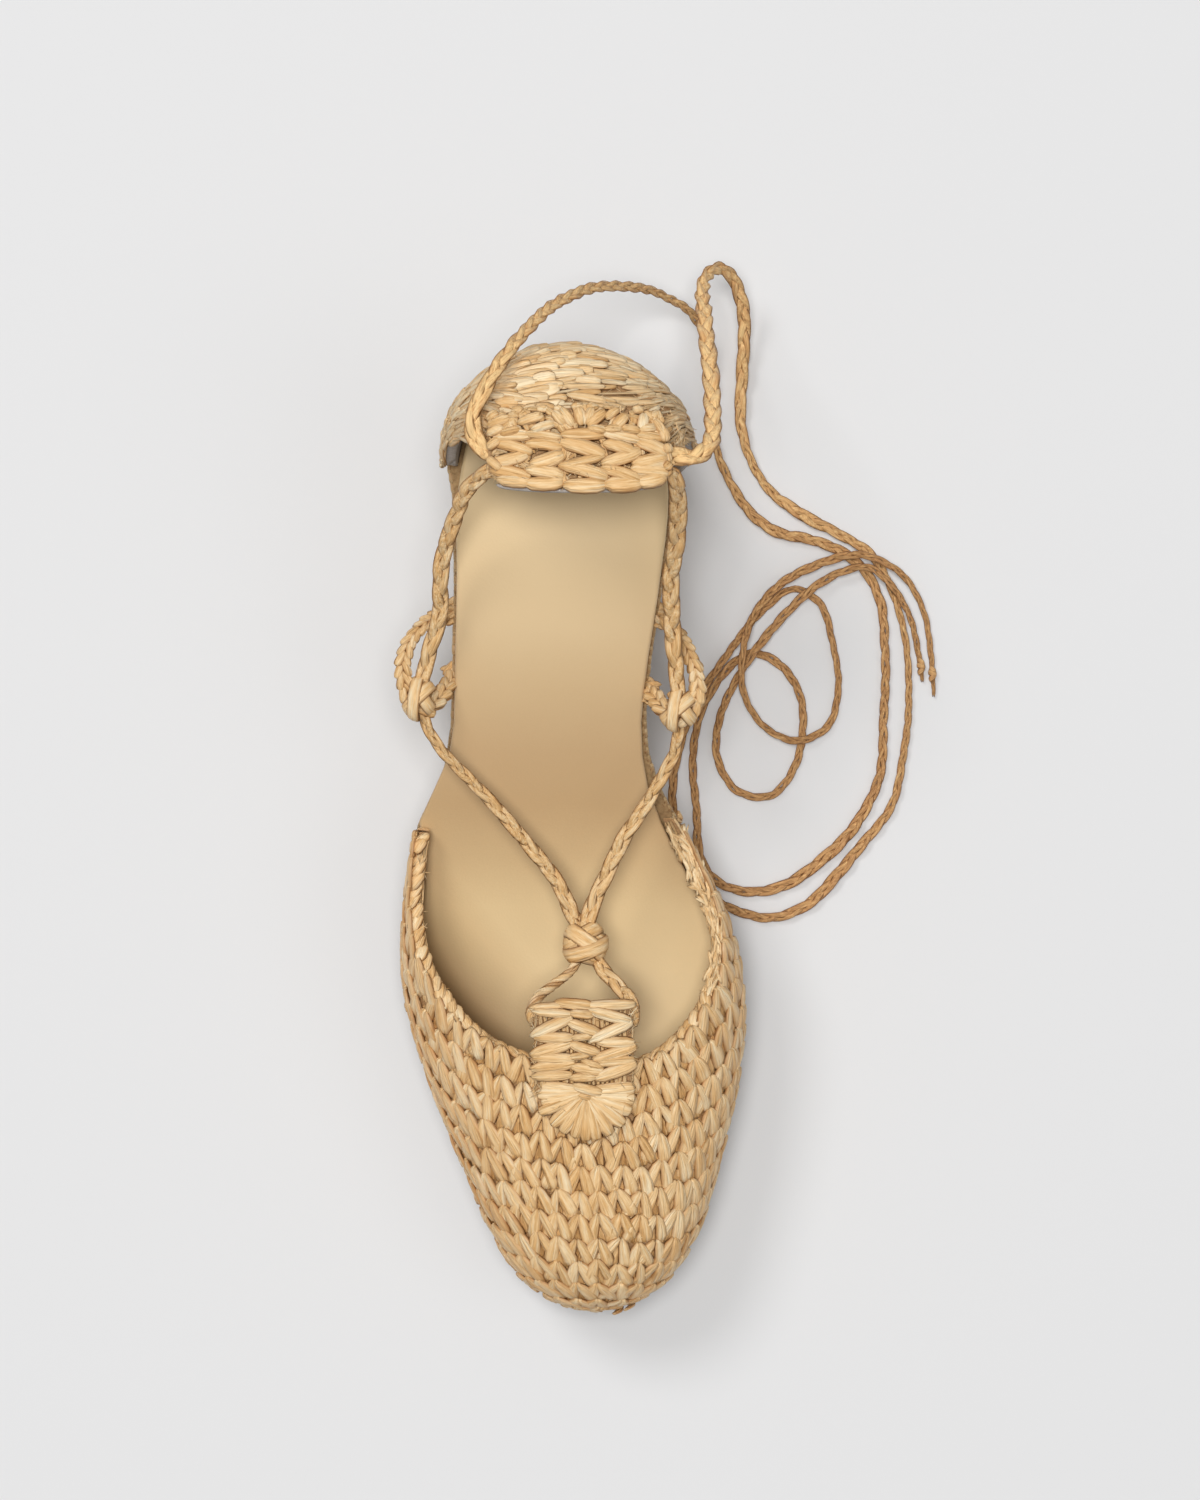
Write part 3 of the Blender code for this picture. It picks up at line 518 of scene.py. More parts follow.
RAFFIA_STOPS = [
    (0.02, (0.92, 0.75, 0.49)),
    (0.32, (0.85, 0.585, 0.30)),
    (0.60, (0.72, 0.425, 0.17)),
    (0.92, (0.47, 0.235, 0.075)),
]
LACE_STOPS = [
    (0.02, (0.97, 0.66, 0.31)),
    (0.30, (0.77, 0.445, 0.185)),
    (0.60, (0.57, 0.295, 0.12)),
    (0.95, (0.37, 0.17, 0.06)),
]
JUTE_STOPS = [
    (0.05, (0.66, 0.49, 0.28)),
    (0.35, (0.56, 0.39, 0.20)),
    (0.65, (0.45, 0.30, 0.14)),
    (0.95, (0.32, 0.20, 0.09)),
]
# Colours of the painted shade along leaf edges, full and soft; the counter's leaves take the soft one.
RAFFIA_PAINTED_EDGE_SHADE = (0.36, 0.21, 0.11, 1.0)
SOFT_PAINTED_EDGE_SHADE = (0.55, 0.39, 0.25, 1.0)
raffia = raffia_finish("raffia_leaf", RAFFIA_STOPS, RAFFIA_PAINTED_EDGE_SHADE)
raffia_soft_edge_shade = raffia_finish("raffia_strip", RAFFIA_STOPS, SOFT_PAINTED_EDGE_SHADE)
lace_raffia = raffia_finish("raffia_lace", LACE_STOPS, RAFFIA_PAINTED_EDGE_SHADE)
jute_rope = raffia_finish("jute_rope", JUTE_STOPS, RAFFIA_PAINTED_EDGE_SHADE)


def raffia_ground_finish():
    """The dense crochet seen between the leaves: tangled fibres, coloured dark brown as painted shade in
    the gaps between leaves.
    """
    finish = Finish("raffia_ground_painted_shade", Roughness=0.75)
    x, y, z = finish.parts(finish.object_place())
    tangle = finish.noise(finish.vector(x * 1.6, y * 0.5, z * 1.6), 1.0, 4.0, 0.7)
    cross = finish.noise(finish.vector(x * 0.5, y * 1.7, z * 0.9), 1.0, 4.0, 0.7)
    fibres = tangle * 0.5 + cross * 0.5
    # The fibres' own brown, darkened by painted shade for the gaps.
    color = finish.ramp(fibres, [
        (0.32, (0.21, 0.105, 0.042)),
        (0.50, (0.42, 0.235, 0.10)),
        (0.70, (0.66, 0.42, 0.205)),
    ])
    finish.set("Base Color", color)
    finish.bump(fibres, 0.9, 0.9)
    return finish.material


def leather_finish():
    """Pale leather with a fine grain; along its length its own tone is darkened by painted shade at the
    sloping waist, and a painted shadow darkens the throat's outer corner.
    """
    finish = Finish("footbed_leather", IOR=1.45, Specular_IOR_Level=0.35)
    at = finish.object_place()
    cloud = finish.noise(at, 0.03, 3.0)
    grain = finish.noise(at, 2.6, 3.0, 0.6)
    pores = finish.node("TexVoronoi", {}, {"Vector": at, "Scale": 1.5}, "Distance")
    x, y, _ = finish.parts(at)
    # Colour along the length: the leather's own tone, with painted shade darkening the sloping waist.
    color = finish.ramp(y * 0.005 + cloud * 0.06 + grain * 0.04 + 0.35, [
        (0.24, (0.715, 0.535, 0.29)),
        (0.31, (0.69, 0.51, 0.275)),
        (0.37, (0.61, 0.43, 0.225)),
        (0.44, (0.52, 0.345, 0.175)),
        (0.50, (0.55, 0.37, 0.195)),
        (0.58, (0.61, 0.43, 0.235)),
        (0.66, (0.665, 0.49, 0.28)),
        (0.80, (0.66, 0.49, 0.27)),
    ])
    # Painted shadow of the lateral rim: darkest in the throat's outer corner, fading away from it.
    from_throat_shadow_corner = (x + 32.8) * 0.0302 + (y + 35.2) * 0.0263 + cloud * 0.1
    shade = finish.ramp(from_throat_shadow_corner, [
        (0.02, (0.36, 0.28, 0.185)),
        (0.18, (0.48, 0.41, 0.335)),
        (0.38, (0.66, 0.615, 0.56)),
        (0.62, (0.90, 0.87, 0.84)),
        (0.85, (1.0, 1.0, 1.0)),
    ])
    finish.set("Base Color", finish.mix(1.0, color, shade, "MULTIPLY"))
    finish.set("Roughness", grain * 0.18 + 0.42)
    finish.bump(pores * 0.6 + grain * 0.5, 0.12, 0.2)
    return finish.material


def plain_finish(name, dark, light, roughness, scale, depth):
    finish = Finish(name, Roughness=roughness)
    cloud = finish.noise(finish.object_place(), scale, 4.0, 0.6)
    finish.set("Base Color", finish.ramp(cloud, [(0.3, dark), (0.7, light)]))
    finish.bump(cloud, 0.4, depth)
    return finish.material


raffia_ground_painted_shade = raffia_ground_finish()
leather = leather_finish()
jute_ground = plain_finish("jute_ground", (0.22, 0.13, 0.055), (0.42, 0.27, 0.125), 0.9, 0.9, 0.5)
gum_rubber = plain_finish("gum_rubber", (0.24, 0.13, 0.06), (0.36, 0.21, 0.105), 0.65, 0.5, 0.25)
lining_cloth = plain_finish("lining_cloth", (0.33, 0.29, 0.26), (0.46, 0.42, 0.38), 0.85, 1.6, 0.3)


# Camera, and the floor and lights in metres

FLOOR_HALF = 3.0
FLOOR_LEVEL = -0.0003
FLOOR_COLOR = (0.70, 0.70, 0.703, 1.0)
WORLD_STRENGTH = 0.20
LIGHTS = [
    ("overhead", (-0.15, 0.15, 4.0), 1.4, 108.0),
    ("key", (-1.7, 1.9, 3.5), 1.4, 54.0),
    ("fill", (2.0, -0.3, 3.2), 2.0, 9.0),
]


def make_camera():
    data = bpy.data.cameras.new("camera")
    data.sensor_width = SENSOR
    data.lens = FOCAL_PIXELS * SENSOR / IMAGE_SIZE[1]
    camera = add_object("camera", data)
    camera.location = Vector(CAMERA_AT) * MM
    bpy.context.scene.camera = camera


def make_floor():
    bm = bmesh.new()
    bmesh.ops.create_grid(bm, x_segments=1, y_segments=1, size=FLOOR_HALF)
    floor = add_object("floor", mesh_of(bm, "floor"))
    floor.location = (0.0, 0.0, FLOOR_LEVEL)
    paint = Finish("floor_paint", Roughness=0.9, Base_Color=FLOOR_COLOR, Specular_IOR_Level=0.1)
    floor.data.materials.append(paint.material)


def make_studio():
    """A white world and three disks of light that face the origin."""
    world = bpy.data.worlds.new("studio")
    world.use_nodes = True
    background = world.node_tree.nodes["Background"]
    background.inputs["Color"].default_value = (1.0, 1.0, 1.0, 1.0)
    background.inputs["Strength"].default_value = WORLD_STRENGTH
    bpy.context.scene.world = world
    for name, at, size, power in LIGHTS:
        data = bpy.data.lights.new(name, "AREA")
        data.shape = "DISK"
        data.size = size
        data.energy = power
        light = add_object(name, data)
        light.location = at
        light.rotation_euler = (-Vector(at)).to_track_quat("-Z", "Y").to_euler()


make_camera()
make_floor()
make_studio()
bpy.context.scene.view_settings.view_transform = "Standard"


# Laces and side loops along the frame's routes, as x, y, z and radius

TAIL_MEDIAL = [
    (19.8, 91.0, 104.4, 2.2), (24.6, 91.0, 105.0, 2.2), (27.6, 90.6, 104.8, 2.2), (30.6, 91.6, 103.0, 2.2),
    (33.0, 94.6, 98.6, 2.1), (33.8, 99.8, 91.0, 2.1), (33.8, 107.0, 81.0, 2.1), (33.3, 116.5, 68.0, 2.1),
    (32.7, 127.6, 52.0, 2.0), (32.2, 135.4, 39.0, 1.9), (33.9, 141.0, 29.0, 1.7), (37.1, 143.2, 22.0, 1.6),
    (40.4, 141.5, 16.5, 1.6), (42.7, 136.1, 11.5, 1.7), (43.6, 127.6, 6.5, 1.6), (43.2, 116.4, 3.2, 1.5),
    (42.9, 105.0, 2.1, 1.3), (45.4, 96.0, 2.0, 1.0), (50.3, 88.3, 1.9, 1.1), (58.2, 82.2, 1.9, 1.5),
    (68.3, 77.0, 1.7, 1.2), (76.3, 71.8, 1.5, 1.1), (81.3, 63.3, 1.4, 0.9), (84.6, 52.1, 1.4, 0.8),
    (85.9, 37.2, 1.4, 0.8), (84.6, 21.4, 1.4, 0.9), (81.1, 7.1, 1.4, 1.0), (74.7, -1.4, 1.4, 1.2),
    (67.8, -9.6, 1.4, 1.4), (59.3, -18.0, 1.4, 1.3), (50.4, -21.1, 1.4, 1.1), (42.2, -19.3, 1.4, 1.1),
    (35.6, -16.0, 1.4, 1.1), (30.4, -11.0, 1.4, 1.1), (27.4, -4.0, 1.4, 1.1), (25.6, 5.3, 1.3, 1.0),
    (25.6, 14.2, 1.3, 1.0), (27.4, 23.2, 1.5, 1.0), (29.6, 30.1, 2.4, 0.9), (33.3, 37.4, 3.6, 0.9),
    (38.4, 44.8, 3.6, 0.9), (44.0, 52.6, 1.3, 0.9), (49.6, 58.6, 1.1, 0.9), (56.5, 63.2, 1.1, 0.8),
    (62.7, 59.9, 1.1, 0.9), (66.2, 50.0, 1.1, 0.8), (67.8, 37.2, 1.1, 0.8), (64.7, 27.5, 1.8, 0.9),
    (57.2, 24.2, 3.2, 0.9), (48.8, 28.0, 2.2, 0.8), (43.7, 36.0, 3.4, 0.8), (43.2, 45.6, 5.6, 0.8),
    (45.8, 55.6, 4.2, 0.9), (52.0, 63.4, 3.0, 1.0), (62.5, 69.3, 3.0, 1.1), (73.8, 71.6, 4.6, 0.9),
    (83.5, 67.2, 3.6, 0.8), (89.6, 57.4, 1.2, 0.7), (91.6, 46.2, 1.0, 0.7), (92.3, 35.5, 1.0, 0.4),
]
TAIL_LATERAL = [
    (-17.6, 90.6, 104.4, 2.0), (-20.6, 92.8, 105.2, 2.0), (-22.8, 96.4, 105.2, 2.0),
    (-22.6, 101.8, 105.2, 1.8), (-19.6, 108.2, 104.4, 1.7), (-15.1, 115.6, 99.4, 1.6),
    (-9.6, 123.2, 88.6, 1.5), (-2.3, 130.8, 71.0, 1.4), (5.7, 135.3, 54.0, 1.3), (14.4, 137.1, 37.0, 1.2),
    (23.0, 136.2, 22.0, 1.0), (30.2, 132.4, 11.5, 1.0), (34.2, 126.0, 6.0, 1.0), (35.2, 117.6, 3.2, 1.0),
    (35.5, 108.8, 2.0, 1.0), (36.6, 99.1, 1.9, 0.9), (39.9, 90.9, 1.9, 1.0), (45.0, 83.0, 1.9, 1.2),
    (51.9, 77.7, 1.8, 1.3), (61.1, 75.6, 1.8, 1.2), (69.8, 72.0, 1.6, 1.2), (75.4, 66.6, 1.4, 1.1),
    (78.6, 59.6, 1.4, 1.1), (79.8, 47.5, 1.4, 1.0), (79.5, 31.6, 1.4, 1.0), (78.0, 14.2, 1.4, 1.1),
    (72.1, 2.4, 1.4, 1.3), (63.2, -6.4, 1.4, 1.4), (53.7, -12.9, 1.4, 1.3), (44.8, -14.4, 1.4, 1.1),
    (37.8, -12.2, 1.4, 1.0), (33.6, -8.0, 1.4, 1.0), (32.0, -2.6, 1.4, 1.0), (31.7, 5.3, 1.3, 0.9),
    (30.6, 18.1, 1.3, 0.9), (31.4, 26.5, 1.2, 0.9), (33.4, 33.2, 1.2, 0.9), (36.9, 39.2, 1.2, 0.9),
    (41.2, 44.2, 1.1, 1.0), (46.5, 46.6, 1.1, 1.0), (52.4, 44.2, 1.1, 1.0), (57.5, 37.2, 1.1, 0.9),
    (58.8, 27.0, 1.1, 0.9), (56.3, 16.8, 1.1, 0.9), (50.1, 10.1, 1.1, 0.9), (42.2, 11.2, 1.1, 0.9),
    (37.1, 19.3, 1.1, 0.9), (37.8, 31.1, 1.1, 0.9), (42.1, 40.4, 2.4, 0.9), (47.9, 49.2, 3.9, 1.0),
    (55.1, 57.5, 2.9, 1.0), (61.0, 63.0, 3.5, 1.0), (69.3, 67.6, 3.6, 0.9), (75.0, 68.6, 4.8, 0.8),
    (80.8, 64.4, 4.5, 0.8), (85.9, 56.2, 2.4, 0.7), (88.2, 47.6, 1.0, 0.7), (89.4, 39.3, 1.0, 0.4),
]
LATERAL_LOOP = [
    (-28.9, 56.0, 55.4, 1.7), (-33.1, 54.6, 57.5, 1.8), (-36.6, 52.2, 59.0, 1.8), (-39.6, 48.3, 60.2, 1.9),
    (-41.0, 43.9, 60.6, 2.0), (-40.8, 39.0, 60.6, 2.3), (-39.2, 34.4, 60.2, 2.5), (-36.4, 32.2, 59.6, 2.6),
    (-33.4, 33.8, 57.6, 2.4), (-31.0, 37.0, 54.4, 2.2), (-28.9, 40.4, 50.4, 2.0),
]
MEDIAL_LOOP = [
    (20.9, 55.0, 55.6, 1.7), (24.5, 52.2, 58.0, 1.8), (27.4, 47.8, 59.6, 1.8), (29.7, 42.9, 60.6, 1.9),
    (30.7, 37.5, 60.6, 2.1), (29.8, 32.8, 60.4, 2.4), (26.8, 30.0, 60.0, 2.6), (23.3, 31.4, 58.0, 2.4),
    (20.9, 34.1, 55.0, 2.2), (18.6, 36.5, 50.8, 2.0),
]
FRONT_LATERAL = [
    (3.0, -24.0, 47.0, 1.8), (0.4, -19.0, 47.6, 1.9), (-3.4, -11.2, 49.0, 1.8), (-10.8, -1.2, 51.4, 1.7),
    (-18.0, 7.2, 53.6, 1.6), (-25.8, 15.4, 55.8, 1.4), (-32.0, 22.2, 57.8, 1.3), (-35.4, 27.8, 59.2, 1.3),
    (-36.8, 32.6, 60.0, 1.3),
]
FRONT_MEDIAL = [
    (3.4, -24.0, 47.0, 1.8), (4.4, -18.6, 47.8, 1.9), (7.6, -10.4, 49.4, 1.8), (12.4, -0.6, 51.8, 1.8),
    (17.8, 7.8, 54.2, 1.6), (22.2, 15.8, 56.4, 1.5), (25.2, 21.6, 58.2, 1.4), (26.0, 25.2, 59.2, 1.4),
    (26.2, 30.0, 60.0, 1.4),
]
TONGUE_LOOP_LATERAL = [
    (2.8, -27.0, 47.0, 1.4), (0.0, -32.2, 48.6, 1.3), (-5.0, -36.2, 51.8, 1.4), (-8.6, -39.2, 55.0, 1.5),
    (-10.0, -42.4, 56.2, 1.6), (-9.0, -45.6, 54.4, 1.4),
]
TONGUE_LOOP_MEDIAL = [
    (4.0, -27.0, 47.0, 1.6), (7.4, -32.0, 48.6, 1.7), (11.6, -36.2, 51.8, 1.7), (14.4, -39.6, 55.2, 1.7),
    (15.2, -42.8, 56.2, 1.6), (14.2, -45.8, 54.4, 1.4),
]
REAR_LATERAL = [
    (-37.0, 36.4, 60.6, 1.7), (-36.0, 40.8, 61.4, 1.8), (-34.2, 47.6, 64.4, 1.9), (-32.2, 53.8, 68.0, 1.9),
    (-31.6, 60.4, 72.0, 1.9), (-31.0, 67.2, 77.0, 1.9), (-29.4, 73.2, 82.4, 1.9), (-27.2, 78.8, 89.0, 1.8),
    (-24.0, 84.0, 97.0, 1.8), (-20.4, 87.0, 102.8, 1.7), (-17.6, 88.8, 105.4, 1.7),
]
REAR_MEDIAL = [
    (26.2, 33.6, 60.6, 1.7), (25.8, 38.2, 62.0, 1.8), (24.7, 47.6, 66.0, 2.0), (24.2, 56.8, 71.4, 2.0),
    (24.2, 64.6, 77.2, 2.0), (25.0, 71.0, 83.2, 2.0), (25.4, 77.4, 90.0, 2.1), (25.4, 82.4, 97.0, 2.0),
    (24.8, 85.4, 102.6, 1.8), (23.6, 87.8, 105.2, 1.8),
]

# Knots: middle and half sizes, and the leaves tied round them as axis, height, swell, width and tone
END_KNOT_MEDIAL = (91.9, 41.4, 1.2, 0.9, 2.6, 0.9)
END_KNOT_LATERAL = (89.0, 43.2, 1.2, 0.9, 2.8, 0.9)
CENTRE_KNOT = (3.2, -25.8, 47.0, 5.2, 5.8, 4.2)
LATERAL_KNOT = (-37.2, 34.4, 60.0, 4.8, 5.8, 4.4)
MEDIAL_KNOT = (26.2, 31.7, 60.0, 5.4, 5.8, 4.4)
END_WRAPS = [
    ((0.3, 1.0, 0.0), 0.50, 0.90, 1.3, 0.30),
    ((-0.3, 1.0, 0.0), -0.35, 0.95, 1.4, 0.42),
    ((0.1, 1.0, 0.0), 0.05, 1.0, 1.4, 0.24),
]
CENTRE_WRAPS = [
    ((0.55, 1.0, 0.1), 0.55, 0.88, 4.4, 0.40),
    ((-0.50, 1.0, 0.0), 0.40, 0.94, 4.2, 0.50),
    ((0.30, 1.0, 0.0), -0.52, 0.90, 4.6, 0.44),
    ((0.66, 1.0, -0.1), 0.05, 0.98, 4.4, 0.34),
    ((-0.30, 1.0, 0.1), -0.26, 1.02, 4.2, 0.52),
    ((1.0, 0.45, 0.2), 0.45, 0.92, 3.4, 0.42),
]
LOOP_WRAPS = [
    ((0.95, 0.70, 0.1), 0.30, 0.80, 3.4, 0.30),
    ((-0.80, 1.0, 0.0), 0.10, 0.86, 3.4, 0.40),
    ((1.0, -0.15, 0.1), -0.20, 0.90, 3.2, 0.24),
]

# A braid's turn is this long, and longer by the slack for each millimetre of its radius
BRAID_TURN = 9.0
BRAID_SLACK = 7.0
BRAID_STEPS = 15
ROUTE_STEPS = 4000
TWIST_LAY = 9.0
TWIST_STEPS = 16
CHAIN_GAP = 1.25
CHAIN_STEPS = 200


def add_braid(weave, route, tone_from, tone_to):
    """Three flat strands plaited along a route; returns the route's middle line."""
    path = smooth_path(route)
    along = travelled(path)
    fine = np.linspace(0.0, along[-1], ROUTE_STEPS)
    radius = np.interp(fine, along, path[:, 3])
    turns = running(np.diff(fine) / (BRAID_TURN + BRAID_SLACK * radius[:-1]))
    count = int(turns[-1] * BRAID_STEPS) + 2
    wanted = np.linspace(0.0, turns[-1], count)
    rows = at_distances(path, np.interp(wanted, turns, fine))
    middle = rows[:, :3]
    radius = rows[:, 3]
    ahead, normal = carried_normals(middle)
    side = np.cross(normal, ahead)
    phase = wanted * 2 * math.pi
    phase = phase + 0.45 * np.sin(phase * 0.23 + rng.uniform(0.0, 6.0))
    thin = np.clip((1.6 - radius) / 0.6, 0.0, 1.0)
    share = np.minimum(np.linspace(0.0, 2.2, count), 1.0)
    for k in range(3):
        turn = phase + 2 * math.pi * k / 3 + 0.25 * np.sin(phase * 0.41 + rng.uniform(0.0, 6.0))
        sway = radius * (rng.uniform(0.50, 0.58) + 0.18 * thin) * np.sin(turn)
        weft = radius * 0.36 * np.sin(2 * turn)
        strand = middle + side * sway[:, None] + normal * weft[:, None]
        lean = normal - side * (0.35 * np.sin(turn))[:, None]
        wide = radius * (0.56 - 0.10 * thin + 0.12 * np.abs(np.cos(turn)))
        wide = wide * (1.0 + 0.12 * np.sin(phase * 0.31 + 2.1 * k))
        tone = tone_from + (tone_to - tone_from) * share + jitter(0.05)
        tone = tone + 0.10 * np.sin(turn * 0.37 + k)
        weave.strand(strand, unit(lean), wide, radius * (0.31 + 0.14 * thin), tone)
    return middle


def add_twist(weave, route, tone):
    """Two flat strands twisted round each other along a route."""
    path = smooth_path(route)
    turns = travelled(path)[-1] / (TWIST_LAY * path[:, 3].mean())
    count = int(turns * TWIST_STEPS) + 6
    rows = evenly(path, count)
    middle = rows[:, :3]
    radius = rows[:, 3]
    ahead, normal = carried_normals(middle)
    side = np.cross(normal, ahead)
    phase = np.linspace(0.0, turns * 2 * math.pi, count)
    for k in range(2):
        turn = (phase + math.pi * k)[:, None]
        out = side * np.cos(turn) + normal * np.sin(turn)
        strand = middle + out * (radius * 0.42)[:, None]
        weave.strand(strand, out, radius * 0.82, radius * 0.5, tone + 0.2 * k)


def add_chain(weave, route):
    """A crocheted chain along a route: pairs of leaves that part from its middle like a plait."""
    path = smooth_path(route)
    along = travelled(path)
    spots = [1.0]
    while spots[-1] < along[-1] - 1.0:
        spots.append(spots[-1] + CHAIN_GAP * np.interp(spots[-1], along, path[:, 3]))
    rows = at_distances(path, np.array(spots))
    middle = rows[:, :3]
    radius = rows[:, 3]
    across = rows[:, 3:]
    _, turned = carried_normals(evenly(path, CHAIN_STEPS)[:, :3])
    normal = unit(read_off(spots, np.linspace(0.0, along[-1], CHAIN_STEPS), turned))
    ahead = unit(np.gradient(middle, axis=0))
    side = unit(np.cross(normal, ahead))
    count = len(spots)
    weave.strand(middle - normal * 0.4, normal, radius * 0.62, radius * 0.45, draw(0.75, 0.05, 0.0, 1.0))
    for face in (1, -1):
        for hand in (-1, 1):
            inner = side * (hand * -0.12) * across - ahead * across * 1.1
            outer = side * (hand * 0.62) * across + ahead * across * 0.95
            outer = outer + jitter(0.18, count, 3)
            tone = draw(0.46, 0.14, 0.02, 0.95, count)
            roll = unit(normal * face + side * (0.45 * hand))
            wide = radius * rng.normal(1.05, 0.08, count)
            lift = radius * 0.22 + 0.05 * hand
            weave.leaves(middle + inner, middle + outer, roll, wide, 1.5, tone, arch=0.2, lift=lift)


def add_wraps(weave, knot, wraps):
    """Flat leaves tied round the lump of a knot."""
    middle = np.array(knot[:3])
    half = np.array(knot[3:])
    turn = np.linspace(-0.3, 2 * math.pi + 0.3, 30)[:, None]
    for axis, height, swell, wide, tone in wraps:
        axis = unit(np.array(axis))
        across = unit(np.cross(axis, UP))
        under = np.cross(axis, across)
        ring = axis * height + math.sqrt(1 - height**2) * (under * np.cos(turn) + across * np.sin(turn))
        path = middle + half * swell * ring
        weave.strand(path, unit(ring / half), wide / 2, 0.15 * wide, tone + jitter(0.03), sides=8)


def add_anchor(weave, place_at, inward):
    """A flat strap of crossed leaves where a loop goes under the footbed's edge."""
    middle = np.array(place_at, float)
    ahead = unit(np.array(inward, float))
    side = np.cross(UP, ahead)
    for shift in np.linspace(-2.2, 2.2, 4):
        for cross in (-1.0, 1.0):
            start = middle + side * (shift - cross * 0.9) - ahead * 2.8
            end = middle + side * (shift + cross * 0.9) + ahead * 1.6 - UP * 0.6
            tone = rng.uniform(0.40, 0.85)
            weave.leaves(start, end, UP, 1.8, 1.2, tone, arch=0.3, lift=0.2 + 0.1 * cross)


def make_tail(name, node, route, knot):
    weave = Weave()
    middle = add_braid(weave, route, -0.18, 0.55)
    add_wraps(weave, knot, END_WRAPS)
    piece = weave.piece(name, lace_raffia)
    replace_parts(piece, node)


def make_front_lace():
    weave = Weave()
    add_braid(weave, FRONT_LATERAL, 0.42, 0.50)
    add_braid(weave, FRONT_MEDIAL, 0.42, 0.46)
    add_twist(weave, TONGUE_LOOP_LATERAL, 0.22)
    add_braid(weave, TONGUE_LOOP_MEDIAL, 0.44, 0.46)
    add_wraps(weave, CENTRE_KNOT, CENTRE_WRAPS)
    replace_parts(weave.piece("front_lace", raffia), "lace_front")


def make_side_loop(name, node, route, knot, inward):
    weave = Weave()
    add_chain(weave, route)
    add_anchor(weave, route[0][:3], (inward, 0.2, 0.0))
    add_anchor(weave, route[-1][:3], (inward, 0.5, -0.4))
    add_wraps(weave, knot, LOOP_WRAPS)
    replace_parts(weave.piece(name, raffia), node)


def make_rear_lace(name, node, route):
    weave = Weave()
    add_braid(weave, route, 0.46, 0.42)
    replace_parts(weave.piece(name, raffia), node)


make_tail("tail_braid_medial", "lace_tail_medial", TAIL_MEDIAL, END_KNOT_MEDIAL)
make_tail("tail_braid_lateral", "lace_tail_lateral", TAIL_LATERAL, END_KNOT_LATERAL)
make_front_lace()
make_side_loop("loop_braid_lateral", "side_loop_lateral", LATERAL_LOOP, LATERAL_KNOT, 1.0)
make_side_loop("loop_braid_medial", "side_loop_medial", MEDIAL_LOOP, MEDIAL_KNOT, -1.0)
make_rear_lace("rear_braid_lateral", "lace_rear_lateral", REAR_LATERAL)
make_rear_lace("rear_braid_medial", "lace_rear_medial", REAR_MEDIAL)


# Vamp: rows of folded raffia leaves, parallel to the topline

ROW_GAP = 6.3
STITCH_GAP = 4.9
LEG_LENGTH = 6.4
LEG_WIDTH = 3.4
TIP_LENGTH = 1.9
TOE_PULL = 0.55
SIDE_STRETCH = 0.25
BOW = 0.25
VAMP_MIDDLE = 3.2
VAMP_WALL = 2.6
VAMP_STEPS = 84
TOPLINE_POINTS = 221
OFF_SKIN = 0.55
LEG_THICK = 2.0
SHORTEST_LEG = 2.4
FILLERS = ((-0.6, 0.0), (0.6, 0.0), (-0.4, 2.6), (0.4, -2.6))
FILLER_WIDTH = 1.9
SHORTEST_FILLER = 2.8
EDGE_GAP = 2.7
RIM_GAP = 2.7
RIM_POINTS = 260
RIM_CORDS = ((1.9, 0.5), (2.5, 0.1), (1.2, 0.55))
RIM_LEAF_HALF = 2.3
MAT_STRANDS = 320
MAT_LEFT = 15.0
MAT_FRONT = -40.0
MAT_LAP = 2.0


def split_vamp_border(border):
    """The vamp's topline from its lateral rear corner to its medial one, and its edge on the sole."""
    score = border[:, 1] + 0.2 * border[:, 2]
    lateral, medial = [
        int(np.argmax(np.where(side * border[:, 0] > 0, score, -1000.0))) for side in (-1, 1)
    ]
    loop = np.roll(border, -lateral, axis=0)
    other = (medial - lateral) % len(border)
    onward = loop[: other + 1]
    back = np.vstack([loop[other:], loop[:1]])[::-1]
    if onward[:, 1].min() > back[:, 1].min():
        return onward, back
    return back, onward


def march(skin, line, steps):
    """Lines that walk over a skin in steps of a millimetre, square to the line they start from."""
    places, normals = skin.nearest(line)
    lines = [places]
    facings = [normals]
    reach = np.full(len(line), float(steps))
    for step in range(steps):
        across = unit(np.gradient(places, axis=0))
        ahead = unit(averaged(unit(np.cross(across, normals)), 4))
        aim = places + ahead
        found, found_normals = skin.nearest(aim)
        off = np.linalg.norm(found - aim, axis=1) > OFF_SKIN
        reach[off & (reach > step)] = step
        gone = (reach <= step)[:, None]
        places = np.where(gone, aim, found)
        normals = np.where(gone, normals, found_normals)
        lines.append(places)
        facings.append(normals)
    return np.array(lines), np.array(facings), reach


def line_at(lines, distance):
    """One row of places at a distance, or each at its own, from the line that the walk started from."""
    distance = np.broadcast_to(distance, lines.shape[1])
    low = np.clip(distance.astype(int), 0, len(lines) - 2)
    column = np.arange(len(distance))
    share = (distance - low)[:, None]
    return lines[low, column] * (1 - share) + lines[low + 1, column] * share


def steepness(normal):
    """How much larger a stitch is made on a side wall, so that it looks its size from above."""
    return np.clip(0.94 / np.sqrt(np.maximum(1.0 - normal[:, 0] ** 2, 0.01)), 1.0, 1.3)


def stitch_spots(line, alive, middle):
    """Distances of the stitches along a row, where it is alive on both sides of its middle."""
    along = travelled(line)
    lengthwise = np.abs(unit(np.diff(line, axis=0))[:, 1])
    pace = running(np.diff(along) / (1 + SIDE_STRETCH * lengthwise**2))
    dead = np.flatnonzero(~alive)
    low = max(dead[dead < middle], default=-1) + 1
    high = min(dead[dead > middle], default=len(line)) - 1
    first = math.ceil((pace[low] - pace[middle]) / STITCH_GAP)
    last = math.floor((pace[high] - pace[middle]) / STITCH_GAP)
    return np.interp(pace[middle] + np.arange(first, last + 1) * STITCH_GAP, pace, along)


